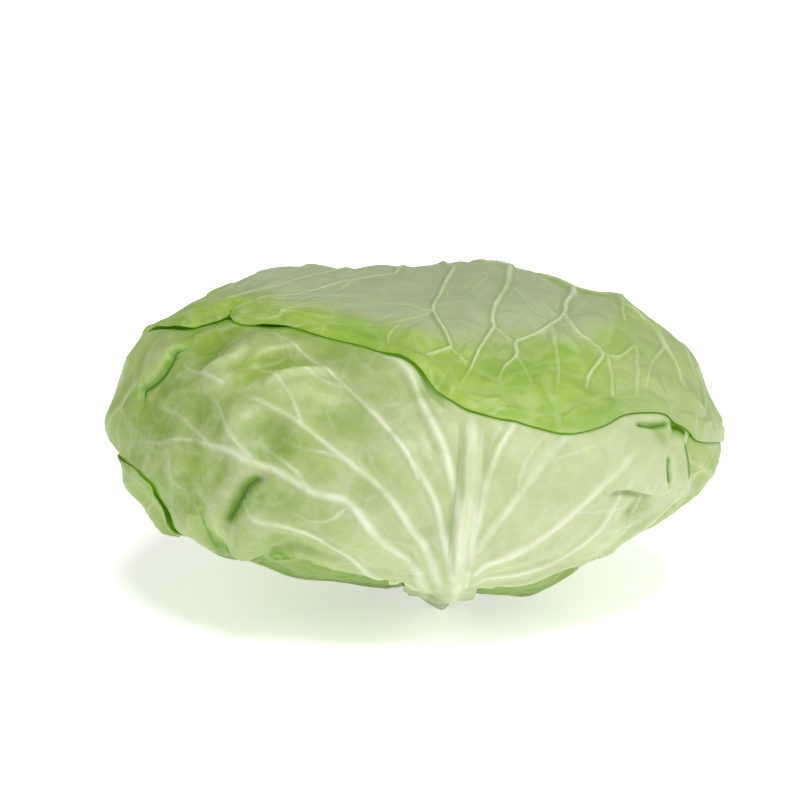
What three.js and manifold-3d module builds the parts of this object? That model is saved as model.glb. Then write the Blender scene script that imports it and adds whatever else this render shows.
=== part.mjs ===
// A flat-headed cabbage, as cut: a short stem with a tapering core, the tight heart of inner leaves,
// and seven wrapper leaves that lap over each other round it.
// Millimetres. +Z is up, -Y is the front, +X is to the right of someone who faces the front.
// The origin is the middle of the stem's cut face, which is what the head stands on.
//
// Every form is a height over one flattened round body. A place on that body is a unit direction from
// its centre. A wrapper leaf is the patch of directions inside its margin, raised above the leaves it
// laps over, with its midrib and side veins standing out of its outer face.

import * as THREE from "three";
import { mergeVertices } from "three/addons/utils/BufferGeometryUtils.js";
import Module from "manifold-3d";

// ---------- Driving dimensions ----------

const halfWidth = 117; // of the body that the first layer of leaves makes
const halfDepth = 107;
const halfHeight = 60;
const bodyCentre = new THREE.Vector3(-10.5, 2, 64.7); // off the stem's axis, as the head leans

const lookDown = 15; // degrees: the front outline is drawn as seen from the front and this far above level
const leafThickness = 1;
const leafPitch = 2.5; // from one leaf's outer face to the next one's over it
const heartSink = 6.5; // the heart's face below the first layer's outer face
const seatHeight = 11; // the body is flattened this far up, so that leaf bases fit under it
const seatBlend = 5;
const stemProfile = [ // [radius, up] from the cut face to the core's top
  [0, 0], [8.6, 0], [9.4, 0.8], [13, 6], [16.5, 12], [20, 14.8], [27, 15.8], [27.5, 17],
  [19, 24], [12, 38], [6, 52], [0, 56],
];
const socketClearance = 0.4;
const restPlane = 0.02; // midribs are cut off flush, this little above the stem's cut face

// The body's outline from the front: [across, up], clockwise from the left end.
const frontOutline = [
  [-124, 67], [-121.5, 79], [-115, 91], [-102, 103], [-85, 112], [-65, 121], [-35, 125],
  [-5, 126.5], [21, 127], [41, 120], [59, 116], [73, 110], [87, 99], [99, 85], [105.5, 69],
  [105, 55], [98, 42], [85, 30], [67, 19], [47, 8], [25, 0], [3, -1], [-19, 1], [-45, 4],
  [-71, 8], [-89, 16], [-105, 26], [-116, 39], [-122, 53],
];

// ---------- Small tools ----------

const degrees = Math.PI / 180;
const { smoothstep, lerp, clamp } = THREE.MathUtils;

// A smooth closed function of an angle through [angle, value] pairs, in degrees.
function closedSpline(pairs) {
  const knots = [...pairs].sort((p, q) => p[0] - q[0]);
  const count = knots.length;
  const knot = (i) => {
    const turns = Math.floor(i / count);
    const [angle, value] = knots[i - turns * count];
    return [angle + 360 * turns, value];
  };
  return (angle) => {
    const turned = THREE.MathUtils.euclideanModulo(angle - knots[0][0], 360) + knots[0][0];
    const i = knots.findLastIndex((k) => k[0] <= turned);
    const [before, from, to, after] = [knot(i - 1), knot(i), knot(i + 1), knot(i + 2)];
    const step = to[0] - from[0];
    const t = (turned - from[0]) / step;
    const slopeFrom = ((to[1] - before[1]) / (to[0] - before[0])) * step;
    const slopeTo = ((after[1] - from[1]) / (after[0] - from[0])) * step;
    return (
      from[1] * (1 + 2 * t) * (1 - t) ** 2 +
      slopeFrom * t * (1 - t) ** 2 +
      to[1] * t * t * (3 - 2 * t) +
      slopeTo * t * t * (t - 1)
    );
  };
}

// A direction by its compass angle round the stem, from the front towards +X, and its height above level.
// The body stands off the stem's axis, so straight down is turned to point at the stem.
const stemward = new THREE.Vector3(-bodyCentre.x / halfWidth, -bodyCentre.y / halfDepth, -1).normalize();
const towardStem = new THREE.Quaternion().setFromUnitVectors(new THREE.Vector3(0, 0, -1), stemward);
function direction(azimuth, elevation) {
  const [a, e] = [azimuth * degrees, elevation * degrees];
  return new THREE.Vector3(Math.sin(a) * Math.cos(e), -Math.cos(a) * Math.cos(e), Math.sin(e))
    .applyQuaternion(towardStem);
}

// ---------- The body ----------

const sinLook = Math.sin(lookDown * degrees);
const cosLook = Math.cos(lookDown * degrees);
const frontTilt = Math.atan((sinLook / cosLook) * (halfDepth / halfHeight));
const frontUp = new THREE.Vector3(0, Math.sin(frontTilt), Math.cos(frontTilt));
const frontOut = new THREE.Vector3(0, -Math.cos(frontTilt), Math.sin(frontTilt));
const seenHalfHeight = Math.hypot(halfDepth * sinLook, halfHeight * cosLook);
const seenCentreUp = bodyCentre.z * cosLook + bodyCentre.y * sinLook;

const outlineScale = closedSpline(
  frontOutline.map(([across, up]) => {
    const x = (across - bodyCentre.x) / halfWidth;
    const y = (up - seenCentreUp) / seenHalfHeight;
    return [Math.atan2(y, x) / degrees, Math.hypot(x, y)];
  }),
);

// The point that stands height above the body in a direction.
function bodyPoint(toward, height) {
  const y = toward.dot(frontUp);
  const rim = toward.x ** 2 + y ** 2;
  const scale = 1 + (outlineScale(Math.atan2(y, toward.x) / degrees) - 1) * rim;
  const outward = new THREE.Vector3(
    toward.x / halfWidth,
    toward.y / halfDepth,
    toward.z / halfHeight,
  ).normalize();
  const point = new THREE.Vector3(toward.x * halfWidth, toward.y * halfDepth, toward.z * halfHeight)
    .multiplyScalar(scale)
    .add(bodyCentre);
  const above = point.z - seatHeight;
  point.z = seatHeight + (above + Math.hypot(above, seatBlend)) / 2;
  return point.addScaledVector(outward, height);
}

// The direction of the place that the front view shows at [across, up].
const meanHeight = 3;
function seenFromFront([across, up]) {
  const x = (across - bodyCentre.x) / (halfWidth + meanHeight);
  const y = (up - seenCentreUp) / (seenHalfHeight + meanHeight);
  const scale = outlineScale(Math.atan2(y, x) / degrees);
  const seen = Math.hypot(x, y);
  let reach = seen;
  for (let i = 0; i < 8; i++) reach = seen / (1 + (scale - 1) * reach ** 2);
  reach = Math.min(reach, 0.998);
  return new THREE.Vector3((x / seen) * reach, 0, 0)
    .addScaledVector(frontUp, (y / seen) * reach)
    .addScaledVector(frontOut, Math.sqrt(1 - reach ** 2));
}

// ---------- Leaves ----------

// A leaf's own frame: its middle, and the ways across it and towards its tip.
function leafFrame(azimuth, elevation) {
  const middle = direction(azimuth, elevation);
  const tipward = direction(azimuth, elevation + 90);
  const across = tipward.clone().cross(middle);
  return {
    // [angle round the middle, distance from it], in degrees
    polar(toward) {
      const angle = Math.atan2(toward.dot(tipward), toward.dot(across)) / degrees;
      return [angle, Math.acos(clamp(toward.dot(middle), -1, 1)) / degrees];
    },
    place(x, y) {
      const far = Math.hypot(x, y);
      if (far < 1e-9) return middle.clone();
      const side = across.clone().multiplyScalar(x / far).addScaledVector(tipward, y / far);
      return middle
        .clone()
        .multiplyScalar(Math.cos(far * degrees))
        .addScaledVector(side, Math.sin(far * degrees));
    },
  };
}

// margin holds [angle, distance] pairs in degrees, and frontMargin the margin's visible stretch as
// [across, up] points of the front view. waves is how far the margin waves in and out, in degrees.
function makeLeaf({ name, azimuth, elevation, margin, frontMargin = [], waves = 1, cells, ...rest }) {
  const frame = leafFrame(azimuth, elevation);
  const smooth = closedSpline([
    ...margin,
    ...frontMargin.map((point) => frame.polar(seenFromFront(point))),
  ]);
  const shift = azimuth * degrees;
  const reach = (angle) => {
    const a = angle * degrees;
    return smooth(angle) + waves * (0.6 * Math.sin(9 * a + shift) + 0.4 * Math.sin(17 * a - 2 * shift));
  };
  return { name, frame, reach, cells, folds: [], feet: [], rim: traceMargin(frame, reach), ...rest };
}

// The margin from the base round to the base, with the length run so far: all in degrees.
function traceMargin(frame, reach) {
  const steps = 480;
  const rim = [];
  let [run, sum, lastX, lastY] = [0, 0, 0, 0];
  for (let i = 0; i <= steps; i++) {
    const angle = -90 + (360 * i) / steps;
    const x = reach(angle) * Math.cos(angle * degrees);
    const y = reach(angle) * Math.sin(angle * degrees);
    if (i > 0) run += Math.hypot(x - lastX, y - lastY);
    rim.push({ x, y, run, toward: frame.place(x, y) });
    [lastX, lastY] = [x, y];
    sum += reach(angle);
  }
  rim.meanReach = sum / (steps + 1);
  return rim;
}

// A place of the leaf, from a point of the unit disc. The disc's rim is the margin, by length run from
// the base, and its middle keeps round.
const roundShare = 0.55; // of the way to the margin
function leafPlace({ frame, rim }, x, y) {
  const share = Math.hypot(x, y);
  const angle = Math.atan2(y, x) / degrees;
  const target = (THREE.MathUtils.euclideanModulo(angle + 90, 360) / 360) * rim[rim.length - 1].run;
  const i = Math.max(1, rim.findIndex((spot) => spot.run >= target));
  const t = (target - rim[i - 1].run) / (rim[i].run - rim[i - 1].run);
  const hold = smoothstep(share, 0, roundShare);
  const middle = 0.6 * rim.meanReach;
  return frame.place(
    share * lerp(middle * Math.cos(angle * degrees), lerp(rim[i - 1].x, rim[i].x, t), hold),
    share * lerp(middle * Math.sin(angle * degrees), lerp(rim[i - 1].y, rim[i].y, t), hold),
  );
}

// How many degrees a direction lies outside a leaf's margin. It is negative inside.
function beyondMargin(leaf, toward) {
  const [angle, far] = leaf.frame.polar(toward);
  const near = leaf.rim.reduce((most, spot) => Math.max(most, spot.toward.dot(toward)), -1);
  return (Math.acos(clamp(near, -1, 1)) / degrees) * Math.sign(far - leaf.reach(angle));
}

// Side veins that fan out of the midrib on both sides, each forked once, as on any cabbage leaf.
function fanVeins(leaf, { midribEnd = 0.86, pairs = 6, base = 9, rise = 4.5 } = {}) {
  const spot = (angle, share) => {
    const far = share * leaf.reach(angle);
    return [far * Math.cos(angle * degrees), far * Math.sin(angle * degrees)];
  };
  const start = spot(-90, 1);
  const end = spot(90, midribEnd);
  const bow = ([ax, ay], [bx, by], [cx, cy]) => {
    const line = [];
    for (let i = 0; i <= 10; i++) {
      const t = i / 10;
      const [p, q, r] = [(1 - t) ** 2, 2 * t * (1 - t), t * t];
      line.push(leaf.frame.place(p * ax + q * bx + r * cx, p * ay + q * by + r * cy));
    }
    return line;
  };
  const veins = [{ line: bow(start, [1.5, 0], end), wide: [base, 2], high: [rise, 0.8] }];
  for (let i = 0; i < pairs; i++) {
    for (const side of [-1, 1]) {
      const share = (i + (side > 0 ? 0.25 : 0)) / pairs;
      const root = [0, lerp(start[1] * 0.97, end[1] * 0.75, share ** 1.25)];
      const tipAngle = -90 + side * lerp(38, 160, share);
      const tip = spot(tipAngle, 0.93);
      const bend = [tip[0] * 0.42, lerp(root[1], tip[1], 0.22)];
      veins.push({ line: bow(root, bend, tip), wide: [4.5, 1.6], high: [1.9, 0.6] });
      const fork = [lerp(root[0], tip[0], 0.42), lerp(root[1], tip[1], 0.33)];
      const forkTip = spot(tipAngle + side * 11, 0.9);
      const forkBend = [lerp(fork[0], forkTip[0], 0.5), lerp(fork[1], forkTip[1], 0.4)];
      veins.push({ line: bow(fork, forkBend, forkTip), wide: [2.4, 1.2], high: [1, 0.4] });
    }
  }
  return veins;
}

// A vein or fold drawn in the front view.
function seenLine(points) {
  return points.map(seenFromFront);
}

// Distance to a line of body points, share along it, and which side: positive is to its left from outside.
function nearestOnLine(line, point, outward) {
  let best = { far: Infinity, share: 0, side: 1 };
  const [segment, offset, foot] = [new THREE.Vector3(), new THREE.Vector3(), new THREE.Vector3()];
  for (let i = 0; i + 1 < line.length; i++) {
    segment.subVectors(line[i + 1], line[i]);
    const t = clamp(offset.subVectors(point, line[i]).dot(segment) / segment.lengthSq(), 0, 1);
    foot.copy(line[i]).addScaledVector(segment, t);
    const far = foot.distanceTo(point);
    if (far < best.far) {
      offset.subVectors(point, foot);
      const side = Math.sign(segment.cross(offset).dot(outward)) || 1;
      best = { far, share: (i + t) / (line.length - 1), side };
    }
  }
  return best;
}

// Ridge of the veins over the leaf's outer face. A rib's foot is a swelling at its base, which the knife
// that trims the stem cuts off flush.
function veinHeight(leaf, point, outward) {
  let height = 0;
  for (const vein of leaf.veins) {
    const { far, share } = nearestOnLine(vein.points, point, outward);
    const taper = Math.sqrt(share);
    const wide = lerp(vein.wide[0], vein.wide[1], taper);
    const high = lerp(vein.high[0], vein.high[1], taper);
    if (far < 3 * wide) height = Math.max(height, high * Math.exp(-((far / wide) ** 2) * 1.2));
  }
  for (const foot of leaf.feet) {
    height += foot.up * Math.exp(-((point.distanceTo(foot.at) / foot.radius) ** 2));
  }
  return height;
}

// A fold stands up along its line and falls off on its open side.
function foldHeight(leaf, point, outward) {
  let height = 0;
  for (const { points, up, spread } of leaf.folds) {
    const { far, share, side } = nearestOnLine(points, point, outward);
    if (side > 0 && far < spread) {
      height += up * (1 - far / spread) ** 2 * Math.sin(Math.PI * clamp(share, 0, 1)) ** 0.7;
    }
  }
  return height;
}

// Lifts of the whole blade round a place: bulges, and dents where up is negative.
function liftHeight(leaf, point) {
  let height = 0;
  for (const { at, up, radius } of leaf.lifts ?? []) {
    height += up * Math.exp(-((point.distanceTo(at) / radius) ** 2));
  }
  return height;
}

// ---------- The seven wrapper leaves, from the innermost out ----------

const lowerBackLeaf = makeLeaf({
  name: "lower_back_leaf",
  azimuth: -152,
  elevation: -38,
  margin: [
    [-90, 41], [-50, 41], [-15, 47], [20, 48], [60, 44], [90, 46], [125, 46], [165, 48], [-140, 42],
  ],
  cells: 14,
});

const lowerLeftLeaf = makeLeaf({
  name: "lower_left_leaf",
  azimuth: -48,
  elevation: -36,
  margin: [
    [-90, 42], [-55, 42], [-20, 38], [20, 34], [60, 36], [100, 40], [140, 44], [175, 44], [-140, 42],
  ],
  cells: 16,
});

const lowerRightLeaf = makeLeaf({
  name: "lower_right_leaf",
  azimuth: 44,
  elevation: -38,
  margin: [
    [-90, 40], [-50, 42], [-15, 42], [20, 40], [60, 36], [100, 34], [140, 33], [175, 34], [-130, 38],
  ],
  cells: 16,
});

const rightLeaf = makeLeaf({
  name: "right_leaf",
  azimuth: 112,
  elevation: -6,
  margin: [
    [-90, 70], [-68, 62], [-40, 58], [-10, 60], [25, 56], [60, 50], [90, 46], [120, 48], [155, 47],
    [-170, 46], [-140, 50], [-115, 60],
  ],
  fan: { rise: 10 },
  cells: 20,
});

const frontLeaf = makeLeaf({
  name: "front_leaf",
  azimuth: 2,
  elevation: -4,
  margin: [
    [-90, 77], [-94, 75.5], [-98, 54], [-105, 38], [-86, 75.5], [-82, 54], [-75, 41],
    [25, 78], [55, 68], [85, 66],
    [108, 76], [130, 90], [152, 96], [172, 94], [-168, 84],
  ],
  frontMargin: [
    [-30, 5], [-43, 7.5], [-55, 11.5], [-66, 13], [-78, 15], [-87, 22],
    [99.5, 52], [100, 44.5], [98, 36.5], [87, 28], [69, 16], [48, 8], [25, 2.5],
  ],
  waves: 0.5,
  cells: 30,
});

const leftLeaf = makeLeaf({
  name: "left_leaf",
  azimuth: -118,
  elevation: -8,
  margin: [
    [-90, 68], [-60, 60], [48, 56], [70, 50], [95, 48], [125, 50], [155, 50], [-175, 48], [-145, 52],
    [-115, 62],
  ],
  frontMargin: [
    [-100.5, 93.5], [-105, 90], [-110, 83], [-116.5, 76.5], [-118.5, 71], [-121.5, 62],
    [-122.5, 49.5], [-117.5, 45.5], [-111, 40.5], [-107, 32], [-103, 25],
  ],
  waves: 0.6,
  fan: { rise: 9 },
  cells: 20,
});

const crownLeaf = makeLeaf({
  name: "crown_leaf",
  azimuth: 172,
  elevation: 42,
  margin: [
    [-90, 121], [-80, 112], [-65, 98], [-40, 88], [-15, 82], [6, 74], [-165, 88], [-140, 90],
    [-115, 98], [-100, 112],
  ],
  frontMargin: [
    [-110.5, 100.5], [-100.5, 102], [-92.5, 105], [-87, 106.5], [-82, 106.5], [-76.5, 104.5],
    [-65, 103], [-58, 102.5], [-50, 101], [-41, 97.5], [-29, 94], [-17.5, 90.5], [-10, 87.5],
    [-3.5, 81], [3, 75.5], [9.5, 70.5], [19, 67.5], [35, 64.5], [50, 60], [62, 61.5], [69, 66],
    [77, 68], [87.5, 67.5], [93, 68], [96, 63.5], [102.5, 57.5], [109.5, 57],
  ],
  waves: 0,
  fan: { rise: 8, base: 10 },
  cells: 30,
});

const wrapperLeaves = [
  lowerBackLeaf,
  lowerLeftLeaf,
  lowerRightLeaf,
  rightLeaf,
  frontLeaf,
  leftLeaf,
  crownLeaf,
];

// Veins, folds and lifts. Lines are [across, up] points of the front view.
frontLeaf.veins = [
  {
    line: [
      direction(10, -80),
      direction(7, -70),
      ...seenLine([[2.5, 5], [6.5, 19], [9.5, 35], [11.5, 54], [12.5, 68]]),
    ],
    wide: [9.5, 4],
    high: [6.5, 2],
  },
  {
    line: seenLine([[6.5, 11], [12, 27], [17.5, 42.5], [22, 54], [27, 63]]),
    wide: [3, 2.2],
    high: [1.2, 1.3],
  },
  {
    line: seenLine([[12, 17], [24, 29], [31, 35], [41.5, 48.5], [49, 57]]),
    wide: [3, 2.4],
    high: [1.1, 1],
  },
  {
    line: seenLine([[15, 7], [38.5, 18.5], [53, 29.5], [63, 38.5], [72, 45.5]]),
    wide: [3.2, 2.4],
    high: [1.1, 1],
  },
  { line: seenLine([[21, 4], [49, 12], [62, 23.5], [69, 33]]), wide: [3.2, 2], high: [1, 0.9] },
  {
    line: seenLine([[3, 11], [5, 27], [6.5, 38.5], [0, 58], [-9.5, 73], [-17, 88]]),
    wide: [3, 4.5],
    high: [1, 2.2],
  },
  {
    line: seenLine([
      [1, 24], [-2.5, 34.5], [-8, 43], [-14, 54], [-25, 71], [-37, 80], [-50, 89], [-62, 97],
    ]),
    wide: [3, 2.6],
    high: [1.2, 1.2],
  },
  {
    line: seenLine([[-5, 15], [-17.5, 32], [-23, 41], [-37, 52], [-54, 63.5], [-71, 72], [-87, 83]]),
    wide: [3.4, 2.6],
    high: [1.6, 1],
  },
  {
    line: seenLine([
      [-3.5, 5.5], [-17, 13], [-29, 25.5], [-37, 33], [-50, 37], [-68, 47], [-91, 56], [-113, 57],
    ]),
    wide: [3.4, 2.2],
    high: [1.9, 0.9],
  },
  {
    line: seenLine([[-5, 1.5], [-17, 4], [-33.5, 10], [-54, 22.5], [-66, 26.5], [-80, 36]]),
    wide: [3.2, 2.4],
    high: [1.2, 1.2],
  },
];
frontLeaf.folds = [
  { line: seenLine([[-68, 47], [-77, 43.5], [-82, 36], [-85, 27], [-87, 19]]), up: 2.4, spread: 16 },
  { line: seenLine([[67, 39.5], [73.5, 39], [79, 38.5], [85, 37.5]]), up: 1.6, spread: 12 },
];
frontLeaf.lifts = [
  { toward: seenFromFront([-5, 77]), up: -3.4, radius: 11 },
  { toward: seenFromFront([-77, 22]), up: 2.6, radius: 17 },
  { toward: seenFromFront([-63, 69]), up: 1.6, radius: 26 },
  { toward: seenFromFront([77, 55]), up: 1.6, radius: 20 },
];
crownLeaf.lifts = [
  { toward: seenFromFront([-91, 106]), up: 2.6, radius: 11 },
  { toward: seenFromFront([92, 65]), up: 1.5, radius: 10 },
];
frontLeaf.feet = [{ toward: direction(2, -82), up: 4.5, radius: 8 }];
leftLeaf.feet = [
  { toward: direction(-118, -76), up: 4, radius: 10 },
  { toward: direction(-118, -69), up: 4, radius: 11 },
];
crownLeaf.feet = [{ toward: direction(172, -76), up: 3, radius: 10 }];
rightLeaf.feet = [{ toward: direction(112, -76), up: 4, radius: 10 }];
for (const leaf of wrapperLeaves) leaf.veins ??= fanVeins(leaf, leaf.fan);
crownLeaf.veins.push(
  {
    line: seenLine([[28, 129], [23, 116], [22, 107], [16.5, 97], [13, 90], [7, 78.5]]),
    wide: [3, 1.8],
    high: [1.4, 0.8],
  },
  {
    line: seenLine([[53, 119], [50, 107], [46, 103], [31, 96], [31, 90.5], [25.5, 85], [22, 74]]),
    wide: [2.8, 1.6],
    high: [1.2, 0.7],
  },
  {
    line: seenLine([[50, 107], [55, 99], [65, 91], [60.5, 85], [58.5, 74]]),
    wide: [2.4, 1.6],
    high: [1, 0.6],
  },
  { line: seenLine([[3, 124], [-1.5, 113], [1, 104], [5.5, 95]]), wide: [2.4, 1.6], high: [1, 0.5] },
);

for (const leaf of wrapperLeaves) {
  for (const line of [...leaf.veins, ...leaf.folds]) {
    line.points = line.line.map((toward) => bodyPoint(toward, 0));
  }
  for (const place of [...leaf.feet, ...(leaf.lifts ?? [])]) place.at = bodyPoint(place.toward, 0);
}

// ---------- How the leaves lie over each other ----------

const drapeStart = 6; // degrees beyond a covered leaf's margin where the leaf over it starts to come down
const drapeEnd = 16;
const clearStart = 7; // veins are pressed flat this close to the margin of a leaf that lies over them
const clearEnd = 13;

function restingHeight(leaf, toward) {
  const under = wrapperLeaves.slice(0, wrapperLeaves.indexOf(leaf));
  const layers = under.map((other) => 1 - smoothstep(beyondMargin(other, toward), drapeStart, drapeEnd));
  return leafPitch * layers.reduce((sum, layer) => sum + layer, 0);
}

function exposure(leaf, toward) {
  const over = wrapperLeaves.slice(wrapperLeaves.indexOf(leaf) + 1);
  const clear = over.map((other) => smoothstep(beyondMargin(other, toward), clearStart, clearEnd));
  return clear.reduce((share, open) => share * open, 1);
}

// The leaf's outer and inner faces in one direction.
function leafFaces(leaf, toward) {
  const point = bodyPoint(toward, 0);
  const outward = bodyPoint(toward, 1).sub(point);
  const bare = exposure(leaf, toward);
  const lift = liftHeight(leaf, point);
  const rest = restingHeight(leaf, toward) + (lift > 0 ? lift * bare : lift);
  const relief = bare * (veinHeight(leaf, point, outward) + foldHeight(leaf, point, outward));
  const inner = bodyPoint(toward, rest - leafThickness);
  const outer = bodyPoint(toward, rest + relief);
  outer.z = Math.max(outer.z, restPlane);
  return [outer, inner];
}

// ---------- Solids ----------

// A square of cells is rounded to a disc and stretched to the leaf's margin.
function leafGeometry(leaf) {
  const count = leaf.cells;
  const outer = [];
  const inner = [];
  for (let j = 0; j <= count; j++) {
    for (let i = 0; i <= count; i++) {
      const a = (2 * i) / count - 1;
      const b = (2 * j) / count - 1;
      const x = a * Math.sqrt(1 - (b * b) / 2);
      const y = b * Math.sqrt(1 - (a * a) / 2);
      const toward = leafPlace(leaf, x, y);
      const [face, back] = leafFaces(leaf, toward);
      outer.push(face);
      inner.push(back);
    }
  }
  const row = count + 1;
  const back = row * row;
  const index = [];
  for (let j = 0; j < count; j++) {
    for (let i = 0; i < count; i++) {
      const p = j * row + i;
      const [q, r, s] = [p + 1, p + row + 1, p + row];
      const [k, l, m, n] = i < count / 2 === j < count / 2 ? [p, q, r, s] : [q, r, s, p];
      index.push(k, l, m, k, m, n);
      index.push(back + k, back + m, back + l, back + k, back + n, back + m);
    }
  }
  const rim = [];
  for (let i = 0; i < count; i++) rim.push(i);
  for (let j = 0; j < count; j++) rim.push(j * row + count);
  for (let i = count; i > 0; i--) rim.push(count * row + i);
  for (let j = count; j > 0; j--) rim.push(j * row);
  rim.forEach((p, k) => {
    const q = rim[(k + 1) % rim.length];
    index.push(p, back + p, back + q, p, back + q, q);
  });
  const geometry = new THREE.BufferGeometry().setFromPoints([...outer, ...inner]);
  geometry.setIndex(index);
  geometry.computeVertexNormals();
  return geometry;
}

// The stem: a flat cut face, a stump that widens to the collar under the leaf bases, and the core above it.
// grow swells it into the socket that the heart has for it.
function stemGeometry(grow = 0) {
  const profile = stemProfile.map(([radius, up]) => {
    return new THREE.Vector2(radius && radius + grow, up + (up > 0 ? grow * Math.sign(up - 15) : -grow));
  });
  const geometry = new THREE.LatheGeometry(profile, 28);
  geometry.rotateX(Math.PI / 2);
  return geometry;
}

// The heart: inner leaves wound one over the next, each standing a little proud along its edge.
function heartGeometry() {
  const [around, rings] = [44, 22];
  const wound = 5; // leaves showing on the heart
  const edge = 1.4;
  const points = [bodyPoint(direction(0, -90), -heartSink)];
  for (let j = 1; j < rings; j++) {
    for (let i = 0; i < around; i++) {
      const azimuth = (360 * i) / around;
      const elevation = -90 + (180 * j) / rings;
      const turn = (azimuth * wound) / 360 + elevation / 70;
      const step = (turn - Math.floor(turn)) * Math.cos(elevation * degrees);
      points.push(bodyPoint(direction(azimuth, elevation), -heartSink - edge * step));
    }
  }
  points.push(bodyPoint(direction(0, 90), -heartSink));
  const index = [];
  const at = (j, i) => 1 + (j - 1) * around + (i % around);
  for (let i = 0; i < around; i++) {
    index.push(0, at(1, i), at(1, i + 1));
    index.push(points.length - 1, at(rings - 1, i + 1), at(rings - 1, i));
    for (let j = 1; j < rings - 1; j++) {
      index.push(at(j, i), at(j + 1, i), at(j + 1, i + 1), at(j, i), at(j + 1, i + 1), at(j, i + 1));
    }
  }
  return new THREE.BufferGeometry().setFromPoints(points).setIndex(index);
}

const wasm = await Module();
wasm.setup();

function toSolid(geometry) {
  const bare = geometry.clone();
  bare.deleteAttribute("normal");
  bare.deleteAttribute("uv");
  const merged = mergeVertices(bare, 1e-3);
  const triVerts = new Uint32Array(merged.index.array);
  const solid = new wasm.Manifold(
    new wasm.Mesh({ numProp: 3, vertProperties: merged.attributes.position.array, triVerts }),
  );
  if (solid.volume() > 0) return solid;
  const flipped = triVerts.slice();
  for (let i = 0; i < flipped.length; i += 3) [flipped[i], flipped[i + 1]] = [flipped[i + 1], flipped[i]];
  return new wasm.Manifold(
    new wasm.Mesh({ numProp: 3, vertProperties: merged.attributes.position.array, triVerts: flipped }),
  );
}

function toGeometry(solid) {
  const { vertProperties, triVerts } = solid.getMesh();
  const geometry = new THREE.BufferGeometry();
  geometry.setAttribute("position", new THREE.BufferAttribute(new Float32Array(vertProperties), 3));
  geometry.setIndex(new THREE.BufferAttribute(new Uint32Array(triVerts), 1));
  geometry.computeVertexNormals();
  return geometry;
}

const heart = toGeometry(toSolid(heartGeometry()).subtract(toSolid(stemGeometry(socketClearance))));

// ---------- The assembly ----------

function leafFinish(colour) {
  return new THREE.MeshStandardMaterial({ color: colour, roughness: 0.45, metalness: 0 });
}

const finishes = {
  front_leaf: leafFinish("#c3d795"),
  crown_leaf: leafFinish("#a5c65c"),
  left_leaf: leafFinish("#9fbf63"),
  right_leaf: leafFinish("#b4cf78"),
  lower_left_leaf: leafFinish("#9cc05a"),
  lower_right_leaf: leafFinish("#bdd584"),
  lower_back_leaf: leafFinish("#aecb70"),
};

const cabbage = new THREE.Group();
cabbage.name = "cabbage_head";

function addPiece(name, geometry, material) {
  const mesh = new THREE.Mesh(geometry, material);
  mesh.name = name;
  cabbage.add(mesh);
}

for (const leaf of wrapperLeaves) addPiece(leaf.name, leafGeometry(leaf), finishes[leaf.name]);
addPiece("heart", heart, leafFinish("#dfe8b4"));
addPiece("stem", stemGeometry(), new THREE.MeshStandardMaterial({ color: "#e6e8cc", roughness: 0.6 }));

export default cabbage;
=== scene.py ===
import bpy
import math
import numpy as np
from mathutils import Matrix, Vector


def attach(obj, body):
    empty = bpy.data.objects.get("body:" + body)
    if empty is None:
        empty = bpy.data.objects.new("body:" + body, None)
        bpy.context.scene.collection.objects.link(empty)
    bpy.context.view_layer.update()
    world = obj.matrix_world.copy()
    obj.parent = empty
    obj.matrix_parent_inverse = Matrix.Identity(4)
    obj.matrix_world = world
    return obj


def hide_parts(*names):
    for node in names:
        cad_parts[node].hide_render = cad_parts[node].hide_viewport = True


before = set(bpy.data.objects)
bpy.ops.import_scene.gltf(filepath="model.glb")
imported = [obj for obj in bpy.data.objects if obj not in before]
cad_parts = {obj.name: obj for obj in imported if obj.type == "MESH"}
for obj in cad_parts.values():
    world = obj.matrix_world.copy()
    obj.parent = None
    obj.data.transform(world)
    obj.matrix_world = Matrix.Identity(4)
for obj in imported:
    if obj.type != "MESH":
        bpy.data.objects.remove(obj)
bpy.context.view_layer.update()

# Everything below is worked out in millimetres and handed to Blender in metres.
# +Z is up along the stem, -Y is the front, and the stem's cut face is at the origin.
mm = 0.001
restPlane = 0.02

# The round body under the first layer of leaves. Every leaf is a height over it.
head = {
    "halfWidth": 117.0,
    "halfDepth": 107.0,
    "halfHeight": 60.0,
    "meanRadius": 95.0,
    "centre": (-10.5, 2.0, 64.7),
    "lookDown": 15.0,
    "seatHeight": 11.0,  # flattened below this, where the leaf bases meet
    "seatBlend": 5.0,
    "skin": 4.2,  # how far the leaves' outer faces stand over the body along its outline
    "drawnOn": 4.0,  # veins, folds and lifts are drawn on a surface this far over the body
    "marginsOn": 5.0,  # and margins on one this far over it
    # the head's outline as the camera sees it, clockwise from the left end, in its 800 x 800 picture
    "outline": [
        (107, 428), (110, 403), (119, 380), (135, 345), (155, 325), (185, 309), (225, 290), (260, 273),
        (290, 267), (345, 266), (400, 263), (455, 260), (500, 261), (535, 272), (570, 283), (600, 291),
        (628, 301), (660, 327), (690, 352), (708, 380), (719, 408), (723, 435), (717, 465), (704, 488),
        (675, 517), (640, 537), (600, 559), (565, 580), (530, 595), (495, 599), (450, 594), (405, 589),
        (350, 584), (295, 581), (255, 571), (215, 560), (182, 539), (160, 526), (138, 502), (121, 482),
        (113, 455),
    ],
}

# The camera looks at the head from the front. Lines drawn "as seen" are in its 800 x 800 picture.
view = {
    "distance": 2000.0,
    "unit": 0.391,  # mm that one picture unit covers at the head's middle
    "headAt": (411, 436),
    "picture": 800,  # width and height
    "depths": (-125, 40, 331),  # where a line of sight may meet the body, from the aim, and in how many steps
    "sensor": 36.0,
    "clip": 50.0,  # metres
}

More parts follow.
